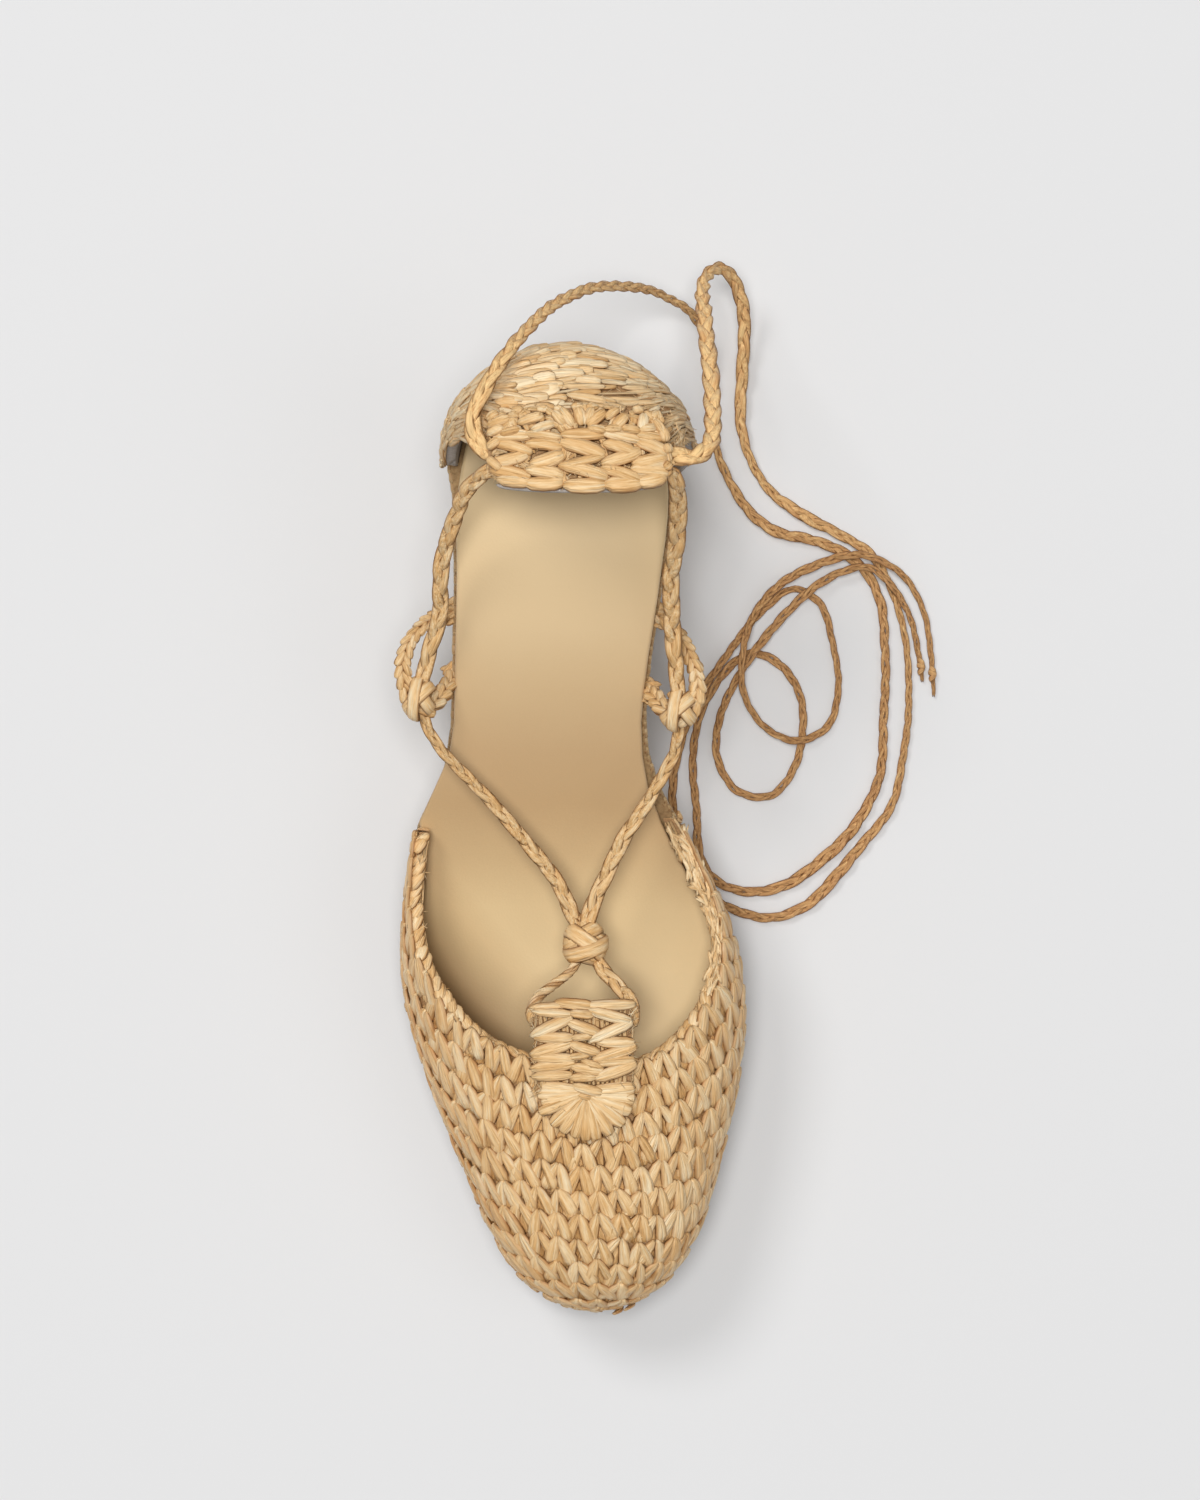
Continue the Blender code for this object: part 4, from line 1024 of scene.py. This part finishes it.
def add_stitch_row(weave, skin, line, facing, spots):
    """One row of folded leaves: two legs each, which part towards the toe, over filler leaves."""
    count = len(spots)
    along = travelled(line)
    spots = spots + jitter(0.35, count)
    tips = at_distances(line, spots)
    normal = unit(read_off(spots, along, facing))
    across = unit(read_off(spots, along, np.gradient(line, axis=0)))
    ahead = unit(np.cross(across, normal))
    toe = unit(TOEWARD - normal * (normal @ TOEWARD)[:, None])
    axis = unit(ahead * (1 - TOE_PULL) + toe * TOE_PULL)
    axis = unit(axis + across * jitter(0.10, count, 1))
    tips = tips + axis * jitter(0.45, count, 1)
    grow = steepness(normal)
    spread = unit(np.cross(normal, axis))
    tone = draw(0.36, 0.12, 0.0, 0.9, count)
    reach = LEG_LENGTH * np.sqrt(grow)[:, None]
    for cross, shift in FILLERS:
        slant = spread * cross
        start, facing_out = skin.nearest(tips + spread * (grow[:, None] * shift))
        end, _ = skin.nearest(start + axis * (reach * 1.05))
        kept = np.linalg.norm(end - start, axis=1) > SHORTEST_FILLER
        start = (start + slant)[kept]
        end = (end - slant)[kept]
        # Filler leaves are darker than the legs: partly the crochet's browner fibres, partly painted shade
        # in the recess under the legs.
        under = np.clip(tone + 0.50, 0.0, 1.3)[kept]
        weave.leaves(start, end, facing_out[kept], FILLER_WIDTH * grow[kept], 1.0, under)
    for side in (-1, 1):
        size = rng.normal(1.0, 0.08, count)[:, None]
        swing = side * STITCH_GAP * (grow * rng.normal(0.61, 0.07, count))[:, None]
        start = tips + spread * (side * 0.20) - axis * TIP_LENGTH + normal * 0.25
        end, end_normal = skin.nearest(tips + axis * (reach * size) + spread * swing)
        end = end - end_normal * 0.6
        kept = np.linalg.norm(end - start, axis=1) > SHORTEST_LEG
        roll = unit(normal + end_normal + spread * rng.normal(-0.10 * side, 0.15, (count, 1)))
        width = LEG_WIDTH * grow * rng.normal(1.0, 0.12, count)
        shade = np.clip(tone + jitter(0.06, count), 0.0, 1.0)
        weave.leaves(
            start[kept], end[kept], roll[kept], width[kept], LEG_THICK, shade[kept],
            taper=0.16, arch=0.40, lift=0.3 + 0.10 * side, bow=BOW * side,
        )


def add_edge(weave, skin, line):
    """Short leaves along an open edge: some hang a little over it, and some wrap a standing end."""
    spots = np.arange(0.6, travelled(line)[-1] - 0.6, EDGE_GAP)
    places = at_distances(line, spots + jitter(EDGE_GAP * 0.18, len(spots)))
    found, _ = skin.nearest(places)
    places = places[np.linalg.norm(found - places, axis=1) < 0.3]
    _, normals = skin.nearest(places)
    across = unit(averaged(np.gradient(places, axis=0), 1))
    inward = unit(np.cross(normals, across))
    found, _ = skin.nearest(places + inward * 1.5)
    outside = np.linalg.norm(found - places - inward * 1.5, axis=1) > 0.6
    inward[outside] *= -1
    count = len(places)
    start = places + inward * rng.uniform(2.4, 4.2, (count, 1)) + normals * 0.3
    start = start + across * jitter(1.3, count, 1)
    end = places - inward * rng.uniform(0.1, 0.9, (count, 1)) + normals * rng.uniform(0.3, 1.1, (count, 1))
    tone = draw(0.40, 0.16, 0.0, 0.95, count)
    weave.leaves(start, end, normals, rng.uniform(2.4, 3.6, count), 1.3, tone, arch=0.3, lift=0.2)
    standing = np.abs(across[:, 2]) > 0.55
    top = (places + normals * 0.7 - inward * 0.2)[standing]
    low = (places - normals * VAMP_WALL - inward * 0.2)[standing]
    weave.leaves(top, low, -inward[standing], EDGE_GAP * 1.1, 1.4, tone[standing], arch=0.3, lift=0.1)


def add_fuzz(weave, places, normals, count, reach, height):
    """Loose fibres that stand off a surface, each a thin bent thread."""
    bend = np.linspace(-0.5, 0.5, 7)[:, None]
    for number in rng.integers(0, len(places), count):
        normal = normals[number]
        way = unit(np.cross(normal, jitter(1.0, 3)))
        side = np.cross(normal, way)
        length = rng.uniform(0.5, 1.0) * reach
        curl = jitter(0.35) * length
        rise = rng.uniform(0.3, 1.0) * height
        path = places[number] + way * bend * length + side * (bend**2 * curl)
        path = path + normal * (rise * (0.6 + jitter(0.8) * bend))
        weave.strand(path, normal, 0.11, 0.09, rng.uniform(0.0, 0.5), sides=3, edge_shade_spread=0.1)


def make_rim(lines, facings):
    """A cord of slanted leaves laid over the vamp's topline, and a fibre mat on its inner half."""
    rim = Weave()
    rows = np.hstack([lines[0], facings[0], unit(lines[0] - lines[1])])
    length = travelled(rows)[-1]
    spots = np.arange(1.0, length - 1.0, RIM_GAP)
    count = len(spots)
    spots = spots + jitter(0.35, count)
    hand = np.where(spots < length / 2, 1.0, -1.0)
    before, out_before, back_before = np.hsplit(at_distances(rows, spots - hand * RIM_LEAF_HALF), 3)
    after, out_after, _ = np.hsplit(at_distances(rows, spots + hand * RIM_LEAF_HALF), 3)
    start = before - out_before * 2.3 + jitter(0.2, count, 3)
    end = after + out_after * 0.7 + jitter(0.3, count, 3)
    tone = draw(0.42, 0.13, 0.0, 0.95, count)
    facing = unit(back_before + out_before * 0.35)
    wide = rng.uniform(2.6, 3.4, count)
    laid = (before[:, 0] < MAT_LEFT) | (before[:, 1] < MAT_FRONT + MAT_LAP)
    rim.leaves(start[laid], end[laid], facing[laid], wide[laid], 1.3, tone[laid], arch=0.45, lift=0.1)
    edge, out, back = np.hsplit(evenly(rows, RIM_POINTS), 3)
    for depth, high in RIM_CORDS:
        wave = averaged(jitter(0.10, RIM_POINTS, 1), 2)
        path = edge - out * (depth + wave) + back * high
        rim.strand(path, unit(back), 0.32, 0.30, rng.uniform(0.4, 0.6))
    inner = edge - out * rng.uniform(-0.5, 2.6, (RIM_POINTS, 1)) + back * 0.5
    add_fuzz(rim, inner, unit(back), 150, 3.6, 0.7)
    medial = (edge[:, 0] > MAT_LEFT) & (edge[:, 1] > MAT_FRONT)
    mat = inner[medial]
    facing = unit(back[medial] + out[medial] * 0.3)
    bend = np.linspace(-1.0, 1.0, 7)[:, None]
    for _ in range(MAT_STRANDS):
        number = rng.integers(4, len(mat) - 4)
        way = unit(unit(mat[number + 4] - mat[number - 4]) + jitter(0.17, 3))
        middle = mat[number] + facing[number] * rng.uniform(0.0, 0.6)
        path = middle + way * bend * 3.2 - facing[number] * bend**2 * 0.9
        half_width = rng.uniform(0.2, 0.55)
        rim.strand(path, facing[number], half_width, 0.18, rng.uniform(0.1, 0.45), edge_shade_spread=0.2)
    rim.piece("vamp_rim_cord", raffia)


def make_vamp():
    skin = Skin("vamp")
    edge, sole_edge = split_vamp_border(skin.border)
    edge = evenly(edge, TOPLINE_POINTS)
    lines, facings, reach = march(skin, edge, VAMP_STEPS)
    middle = int(np.argmin(np.where(edge[:, 1] < -50.0, np.abs(edge[:, 0] - VAMP_MIDDLE), 1000.0)))
    weave = Weave()
    distance = np.full(len(edge), 0.6)
    while distance[middle] < reach[middle] - 1.0:
        line = line_at(lines, distance)
        facing = line_at(facings, distance)
        spots = stitch_spots(line, reach >= distance + 0.8, middle)
        add_stitch_row(weave, skin, line, facing, spots)
        distance = distance + ROW_GAP * averaged(steepness(facing)[:, None], 6)[:, 0]
    add_edge(weave, skin, sole_edge)
    weave.piece("vamp_stitches", raffia)
    make_rim(lines, facings)


make_vamp()


# Heel counter: rows of lapped leaves round the heel, and the lining inside

COUNTER_ROW_GAP = 1.65
COUNTER_LEAF_GAP = 5.2
COUNTER_LEAF_LENGTHS = (5.5, 13.0)
COUNTER_MIDDLE = 3.4
COUNTER_COLUMNS = 121
COUNTER_CLIMB = 60
FOOT_LEVEL = 64.2


def split_border(border, level):
    """The foot line and the collar of the counter, both from the lateral side round the heel."""
    low = border[:, 2] < level
    start = int(np.argmax(low & ~np.roll(low, 1)))
    loop = np.roll(border, -start, axis=0)
    count = int(low.sum())
    foot = loop[:count]
    rim = loop[count:][::-1]
    if foot[0, 0] > foot[-1, 0]:
        return foot[::-1], rim[::-1]
    return foot, rim


def counter_rows(skin):
    """Rows of places on the counter from its foot to its collar, and the way it faces there."""
    share = np.linspace(0.015, 0.985, COUNTER_COLUMNS)
    foot, rim = [
        at_distances(line, share * travelled(line)[-1]) for line in split_border(skin.border, FOOT_LEVEL)
    ]
    grid = []
    for up in np.linspace(0.0, 1.0, COUNTER_CLIMB):
        lean = np.array([up**2.8, up**2.8, 1.0 - (1.0 - up) ** 1.9])
        grid.append(np.hstack(skin.nearest(foot + (rim - foot) * lean)))
    grid = np.array(grid)
    climb = travelled(grid[:, COUNTER_COLUMNS // 2])
    count = int(climb[-1] / COUNTER_ROW_GAP)
    wanted = np.linspace(climb[-1] * 0.02, climb[-1] * 0.985, count)
    wanted = np.interp(wanted, climb, np.arange(COUNTER_CLIMB))
    rows = np.array([line_at(grid, up) for up in wanted])
    return rows[:, :, :3], unit(rows[:, :, 3:])


def make_counter_shell(skin):
    """The counter with crochet outside and the lining inside."""
    bm = merged_copy("heel_counter")
    for face in bm.faces:
        face.material_index = 1
    for number in skin.region:
        bm.faces[number].material_index = 0
    mesh = mesh_of(bm, "counter_shell")
    shell = place("counter_shell", mesh, raffia_ground_painted_shade)
    mesh.set_sharp_from_angle(angle=SHARP)
    mesh.materials.append(lining_cloth)
    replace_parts(shell, "heel_counter")


def make_counter():
    skin = Skin("heel_counter")
    make_counter_shell(skin)
    rows, normals = counter_rows(skin)
    weave = Weave()
    for k, row in enumerate(rows):
        along = travelled(row)
        step = rows[min(k + 1, len(rows) - 1)] - rows[max(k - 1, 0)]
        spots = np.arange(rng.uniform(0.0, COUNTER_LEAF_GAP), along[-1] - 2.0, COUNTER_LEAF_GAP)
        count = len(spots)
        spots = np.clip(spots + jitter(1.0, count), 0.0, along[-1])
        length = rng.uniform(*COUNTER_LEAF_LENGTHS, count)
        start = at_distances(row, spots - length / 2)
        end = at_distances(row, spots + length / 2)
        gap = np.interp(spots, along, np.linalg.norm(step, axis=1) / 2)
        facing = unit(read_off(spots, along, normals[k]))
        rise = unit(read_off(spots, along, unit(step)))
        inner = np.clip(((start + end)[:, 0] / 2 - COUNTER_MIDDLE) / 8.0, -1.0, 1.0)
        lean = (inner * 0.7 + jitter(0.6, count)) * np.clip(gap / 2.0, 0.3, 1.0)
        start = start - rise * lean[:, None] - facing * 0.45
        end = end + rise * lean[:, None] + facing * rng.uniform(0.0, 0.5, (count, 1))
        width = np.clip(gap * 1.35, 1.0, 2.5) * rng.normal(1.0, 0.28, count) * (1.0 - 0.25 * inner)
        # Leaves on the inner side are paler: painted light on the side that lies in shade.
        tone = np.clip(rng.normal(0.17, 0.18, count) - 0.06 * np.clip(inner, 0.0, 1.0), -0.2, 0.9)
        tilt = unit(facing + rise * rng.normal(0.30, 0.15, (count, 1)))
        weave.leaves(start, end, tilt, width, 1.1, tone, arch=0.35, lift=rng.uniform(0.3, 0.9, count))
        fibres = 10 if k > len(rows) * 0.55 else 3
        add_fuzz(weave, row[10:-10], normals[k][10:-10], fibres, 5.5, 1.3)
    weave.piece("counter_leaves", raffia_soft_edge_shade)
    return skin


counter_skin = make_counter()


# Heel band: two rows of chain links and the fan of leaves behind it, in pixels of the photograph

LINKS = [(492, 526), (529, 561), (565, 602), (603, 636), (636, 671)]
LINK_ENDS = ((445, 462), (468, 486))
LINK_LEAVES = [
    (433, 437, 3.0, 0.0), (442, 452, 4.0, 0.4), (465, 454, 4.0, -0.4), (466, 479, 3.7, 0.4),
    (488, 483, 3.9, -0.3),
]
FAN_BEHIND = [
    (517, 425, 545, 416, 3.0), (530, 432, 556, 424, 2.6), (552, 412, 566, 426, 2.8),
    (560, 405, 574, 428, 2.8), (577, 404, 583, 427, 3.4), (606, 411, 586, 427, 3.4),
    (592, 402, 586, 424, 2.6), (627, 415, 612, 430, 3.2), (643, 414, 640, 432, 3.0),
    (652, 420, 666, 436, 2.6), (618, 408, 604, 420, 2.4), (500, 436, 522, 430, 2.4),
    (485, 428, 512, 418, 3.0), (485, 436, 506, 428, 2.8), (486, 450, 502, 440, 2.8),
    (486, 458, 503, 470, 2.6), (488, 422, 500, 410, 2.6), (660, 428, 682, 440, 3.0),
    (664, 444, 680, 452, 2.6), (662, 470, 679, 462, 2.6), (586, 429, 607, 432, 2.4),
    (602, 431, 623, 429, 2.4), (618, 429, 641, 433, 2.6), (636, 431, 656, 429, 2.4),
]
BAND_FACE = (490, 674, 430, 490)
BAND_AND_FAN = (494, 672, 400, 490)
HEEL_SIDE = (686, 714, 424, 466)
FAN_SIDES = (502, 670)
FAN_MIDDLE = 585
FAN_TOP = 398
FAN_DEPTH = 26
FAN_DROOP = 0.16
BINDING_FROM = (499, 492)
BINDING_TO = (661, 490)

# Heights at which pixels beside a skin are taken
BAND_LEVEL = 108.0
HEEL_LEVEL = 106.0
BINDING_LEVEL = 104.0
SIDE_LEVEL = 100.0
BAND_SCRAPS = 170
FAN_SCRAPS = 90


def on_heel(band, pixels):
    """Where pixels of the photograph fall on the band or the counter, whichever is higher."""
    places, normals = band.under(pixels, HEEL_LEVEL)
    others, other_normals = counter_skin.under(pixels, HEEL_LEVEL)
    upper = others[:, 2] > places[:, 2]
    places[upper] = others[upper]
    normals[upper] = other_normals[upper]
    return places, normals


def two_ends(middle, turn, reach):
    """The ends of a short leaf in the photograph."""
    half = np.array([math.cos(turn), math.sin(turn)]) * reach
    return [middle - half, middle + half]


def make_band():
    skin = Skin("heel_band")
    weave = Weave()
    for left, right in LINKS:
        for top, bottom in LINK_ENDS:
            ends = np.array([(right + 1, top), (right + 2, bottom)]) + jitter(1.5, 2, 2)
            weave.leaf(*skin.under(ends, BAND_LEVEL), 2.0, 1.6, rng.uniform(0.4, 0.8), lift=0.2)
        for y_left, y_right, wide, bow in LINK_LEAVES:
            ends = np.array([(left - 5, y_left), (right + 5, y_right)]) + jitter(2.2, 2, 2)
            tone = draw(0.50, 0.15, 0.05, 0.9)
            wide = wide * rng.normal(1.0, 0.10)
            weave.leaf(*skin.under(ends, BAND_LEVEL), wide, 2.2, tone, arch=0.5, lift=0.4, bow=bow)
    for _ in range(BAND_SCRAPS):
        middle = scatter(1, *BAND_FACE)[0]
        ends = two_ends(middle, jitter(0.9), rng.uniform(5.0, 11.0))
        tone = draw(0.42, 0.16, 0.0, 0.9)
        wide = rng.uniform(0.6, 1.5)
        weave.leaf(*skin.under(ends, BAND_LEVEL), wide, 0.8, tone, arch=0.2, lift=0.25)
    add_fuzz(weave, *on_heel(skin, scatter(90, *BAND_AND_FAN)), 130, 4.5, 2.2)
    add_fuzz(weave, *counter_skin.under(scatter(60, *HEEL_SIDE), SIDE_LEVEL), 150, 5.0, 1.6)
    for x0, y0, x1, y1, wide in FAN_BEHIND:
        tone = draw(0.42, 0.12, 0.1, 0.8)
        weave.leaf(*on_heel(skin, [(x0, y0), (x1, y1)]), wide, 2.0, tone, arch=0.6, lift=0.6)
    for _ in range(FAN_SCRAPS):
        x = rng.uniform(*FAN_SIDES)
        y = FAN_TOP + FAN_DEPTH * rng.uniform(0.0, 1.0) + abs(x - FAN_MIDDLE) * FAN_DROOP
        ends = two_ends(np.array([x, y]), rng.uniform(0.0, math.pi), rng.uniform(4.0, 9.0))
        tone = draw(0.45, 0.16, 0.05, 0.95)
        wide = rng.uniform(1.2, 2.6)
        weave.leaf(*on_heel(skin, ends), wide, 1.5, tone, arch=0.4, lift=0.4)
    places, normals = skin.under(np.linspace(BINDING_FROM, BINDING_TO, 40), BINDING_LEVEL)
    binding = Weave()
    binding.strand(places + np.array([0.0, -1.3, -0.6]), normals, 0.5, 0.6, 0.5)
    binding.piece("band_binding", lining_cloth)
    weave.piece("band_links", raffia)


make_band()


# Tongue: pairs of leaves across it and a fan at its front, in pixels of the photograph

TONGUE_LEAVES = [
    (535, 1032, 571, 1016, 3.2, 0.10), (538, 1010, 570, 1013, 2.4, 0.02),
    (539, 1036, 572, 1037, 3.0, 0.40), (535, 1052, 571, 1042, 3.4, 0.34),
    (538, 1057, 574, 1058, 3.0, 0.44), (536, 1068, 574, 1062, 3.2, 0.42),
    (537, 1076, 571, 1074, 2.6, 0.34), (568, 1021, 598, 1032, 3.0, 0.06),
    (572, 1037, 591, 1035, 2.0, 0.22), (570, 1043, 598, 1052, 2.8, 0.20),
    (570, 1056, 588, 1054, 2.0, 0.26), (572, 1066, 602, 1070, 3.0, 0.22),
    (582, 1060, 601, 1066, 2.0, 0.34), (571, 1077, 595, 1076, 2.4, 0.30),
    (589, 1009, 626, 1020, 3.0, 0.06), (589, 1040, 627, 1021, 3.2, 0.0),
    (597, 1041, 629, 1042, 3.0, 0.20), (593, 1059, 631, 1046, 3.2, 0.30),
    (595, 1062, 629, 1059, 2.6, 0.38), (595, 1078, 631, 1063, 3.4, 0.26),
    (571, 1012, 592, 1014, 2.4, 0.42), (573, 1085, 601, 1092, 2.6, 0.20),
    (532, 1006, 563, 1004, 2.6, 0.20), (556, 1005, 591, 1003, 2.8, 0.28),
    (584, 1003, 630, 1007, 2.8, 0.12),
]
FAN_LEAVES = [
    (583, 1089, 548, 1086, 3.0, 0.10), (582, 1091, 546, 1093, 3.2, 0.05),
    (582, 1093, 550, 1101, 3.2, 0.14), (583, 1094, 547, 1109, 2.8, 0.20),
    (583, 1096, 558, 1119, 3.2, 0.24), (584, 1098, 567, 1125, 3.0, 0.12),
    (585, 1099, 577, 1129, 3.0, 0.30), (586, 1100, 586, 1132, 3.0, 0.20),
    (588, 1099, 595, 1131, 3.0, 0.28), (588, 1098, 606, 1127, 3.2, 0.16),
    (588, 1096, 617, 1119, 3.4, 0.22), (588, 1095, 623, 1108, 3.6, 0.06),
    (587, 1093, 626, 1098, 3.8, 0.00), (587, 1091, 626, 1088, 3.6, 0.04),
    (573, 1088, 599, 1090, 2.4, 0.10), (577, 1094, 594, 1098, 2.2, 0.36),
]
RIBS_AT = np.arange(541, 629, 4.4)
RIB_ENDS = (1006, 1092)
RIB_POINTS = 9
TONGUE_FACE = (538, 630, 1004, 1126)
FAN_FROM = 1086
REAR_EDGE = 1008
LEFT_EDGE = 545
RIGHT_EDGE = 620
TONGUE_LEVEL = 54.0
TONGUE_MIDDLE = 3.0
SIDE_FRONT = -63.0
SIDE_REAR = -42.0
TONGUE_EDGE_POINTS = 160


def make_tongue():
    skin = Skin("tongue")
    weave = Weave()
    for px in RIBS_AT:
        line = np.linspace((px, RIB_ENDS[0]), (px, RIB_ENDS[1]), RIB_POINTS)
        places, normals = skin.under(line + jitter(0.5, RIB_POINTS, 2), TONGUE_LEVEL)
        weave.strand(places + normals * 0.25, normals, 0.55, 0.45, draw(0.5, 0.1, 0.0, 1.0))
    for x0, y0, x1, y1, wide, tone in TONGUE_LEAVES + FAN_LEAVES:
        places, normals = skin.under([(x0, y0), (x1, y1)], TONGUE_LEVEL)
        lap = unit(places[1] - places[0]) * 0.7
        places = places + np.array([-lap, lap])
        fan = y0 > FAN_FROM
        tone = np.clip(tone + (0.24 if fan else 0.12) + jitter(0.08), 0.0, 1.0)
        if max(y0, y1) < REAR_EDGE:
            places = places + np.array([0.0, 0.9, -0.2])
        if x0 < LEFT_EDGE:
            places[0, 0] -= 1.1
        if fan:
            places[1] = places[1] + unit(places[1] - places[0]) * 1.7 - UP * 0.9
        elif x1 > RIGHT_EDGE:
            places[1, 0] += 0.9
        taper = 0.2 if fan else 0.0
        weave.leaf(places, normals, wide * 1.12, 1.3, tone, taper=taper, arch=0.5, lift=0.5)
    edge = np.roll(skin.border, -int(np.argmin(skin.border[:, 1])), axis=0)
    edge = evenly(np.vstack([edge, edge[:1]]), TONGUE_EDGE_POINTS)
    edge = edge[(edge[:, 1] > SIDE_FRONT) & (edge[:, 1] < SIDE_REAR)]
    _, normals = skin.nearest(edge)
    for part in (edge[:, 0] < TONGUE_MIDDLE, edge[:, 0] > TONGUE_MIDDLE):
        for depth in (0.7, 1.4):
            wave = averaged(jitter(0.25, *edge[part].shape), 2)
            path = edge[part] - normals[part] * depth + wave
            weave.strand(path, normals[part], 0.50, 0.45, rng.uniform(0.25, 0.45))
    add_fuzz(weave, edge, normals, 60, 4.5, 1.5)
    add_fuzz(weave, *skin.under(scatter(80, *TONGUE_FACE), TONGUE_LEVEL), 60, 4.5, 1.6)
    weave.piece("tongue_leaves", raffia)


make_tongue()


# Footbed: the leather board with a rolled edge, which laps over the wedge at the outer waist

EDGE_ROLL = 0.9
ROLLED_ANGLE = math.radians(50)
OUTER_FROM = 15.0
WAIST_LAP = 4.2
WAIST_AT = 5.5
WAIST_REACH = 8.0


def make_footbed():
    bm = merged_copy("footbed")
    rim = [edge for edge in bm.edges if edge.calc_face_angle(0.0) > ROLLED_ANGLE]
    bmesh.ops.bevel(
        bm, geom=rim, offset=EDGE_ROLL * MM, segments=3, profile=0.5, affect="EDGES", material=-1
    )
    for vert in bm.verts:
        x, y, _ = vert.co / MM
        outer = min(max((-x - OUTER_FROM) / OUTER_FROM, 0.0), 1.0)
        vert.co.x -= WAIST_LAP * MM * outer * math.exp(-(((y - WAIST_AT) / WAIST_REACH) ** 2))
    piece = place("footbed_leather", mesh_of(bm, "footbed_leather"), leather)
    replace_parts(piece, "footbed")


make_footbed()


# Wedge: rows of jute rope, and a rope along its top edge

ROPE_GAP = 5.2
ROPE_LEVELS = np.arange(7.4, 61.0, ROPE_GAP)
EDGE_ROPE_DROP = 2.4
BEAD_GAP = 2.5
CLOSED_MARGIN = 0.6
OPEN_MARGIN = 4.5
SIDE_SLOPE = 0.75


def cut_line(node, level):
    """Where a level plane cuts the side of a node, as one line of points."""
    bm = merged_copy(node)
    bm.normal_update()
    geometry = bm.verts[:] + bm.edges[:] + bm.faces[:]
    cut = bmesh.ops.bisect_plane(
        bm, geom=geometry, dist=1e-7, plane_co=(0, 0, level * MM), plane_no=(0, 0, 1)
    )
    bm.verts.index_update()
    bm.verts.ensure_lookup_table()
    sides = {}
    for edge in cut["geom_cut"]:
        if not isinstance(edge, bmesh.types.BMEdge):
            continue
        if min(abs(face.normal.z) for face in edge.link_faces) < SIDE_SLOPE:
            first, second = [vert.index for vert in edge.verts]
            sides.setdefault(first, []).append(second)
            sides.setdefault(second, []).append(first)
    places = {number: np.array(bm.verts[number].co / MM) for number in sides}
    bm.free()
    return np.array([places[number] for number in walk_line(sides)])


def walk_line(sides):
    """Numbers of points in order, each beside the one before; a loop ends where it starts."""
    ends = [number for number in sorted(sides) if len(sides[number]) == 1]
    at = ends[0] if ends else min(sides)
    line = [at]
    before = None
    while True:
        onward = [number for number in sides[at] if number != before]
        if not onward or onward[0] == line[0]:
            break
        before = at
        at = onward[0]
        line.append(at)
    return line if ends else line + line[:1]


def add_rope(weave, line):
    """A laid rope along a line: slanted beads side by side, which face away from the wedge."""
    margin = CLOSED_MARGIN if np.allclose(line[0], line[-1]) else OPEN_MARGIN
    spots = np.arange(margin, travelled(line)[-1] - margin, BEAD_GAP)
    middle = at_distances(line, spots)
    ahead = unit(averaged(np.gradient(middle, axis=0), 2))
    out = unit(np.cross(ahead, UP))
    if (out * (middle - middle.mean(axis=0))).sum() < 0:
        out = -out
    climb = unit(np.cross(out, ahead))
    climb = climb * np.sign(climb[:, 2:])
    reach = ahead * 2.3 + climb * 1.7
    tone = draw(0.45, 0.13, 0.05, 0.95, len(spots))
    thick = rng.normal(2.3, 0.12, len(spots))
    weave.leaves(middle - reach, middle + reach, out, 2.9, thick, tone, lift=-0.35)


def make_wedge():
    weave = Weave()
    for level in ROPE_LEVELS:
        add_rope(weave, cut_line("wedge", level))
    edge = Skin("wedge").border
    add_rope(weave, np.vstack([edge, edge[:1]]) - UP * EDGE_ROPE_DROP)
    weave.piece("jute_ropes", jute_rope, "jute")


make_wedge()


for node, material in [
    ("vamp", raffia_ground_painted_shade),
    ("heel_band", raffia_ground_painted_shade),
    ("tongue", raffia_ground_painted_shade),
    ("wedge", jute_ground),
    ("outsole", gum_rubber),
]:
    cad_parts[node].data.materials.clear()
    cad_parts[node].data.materials.append(material)
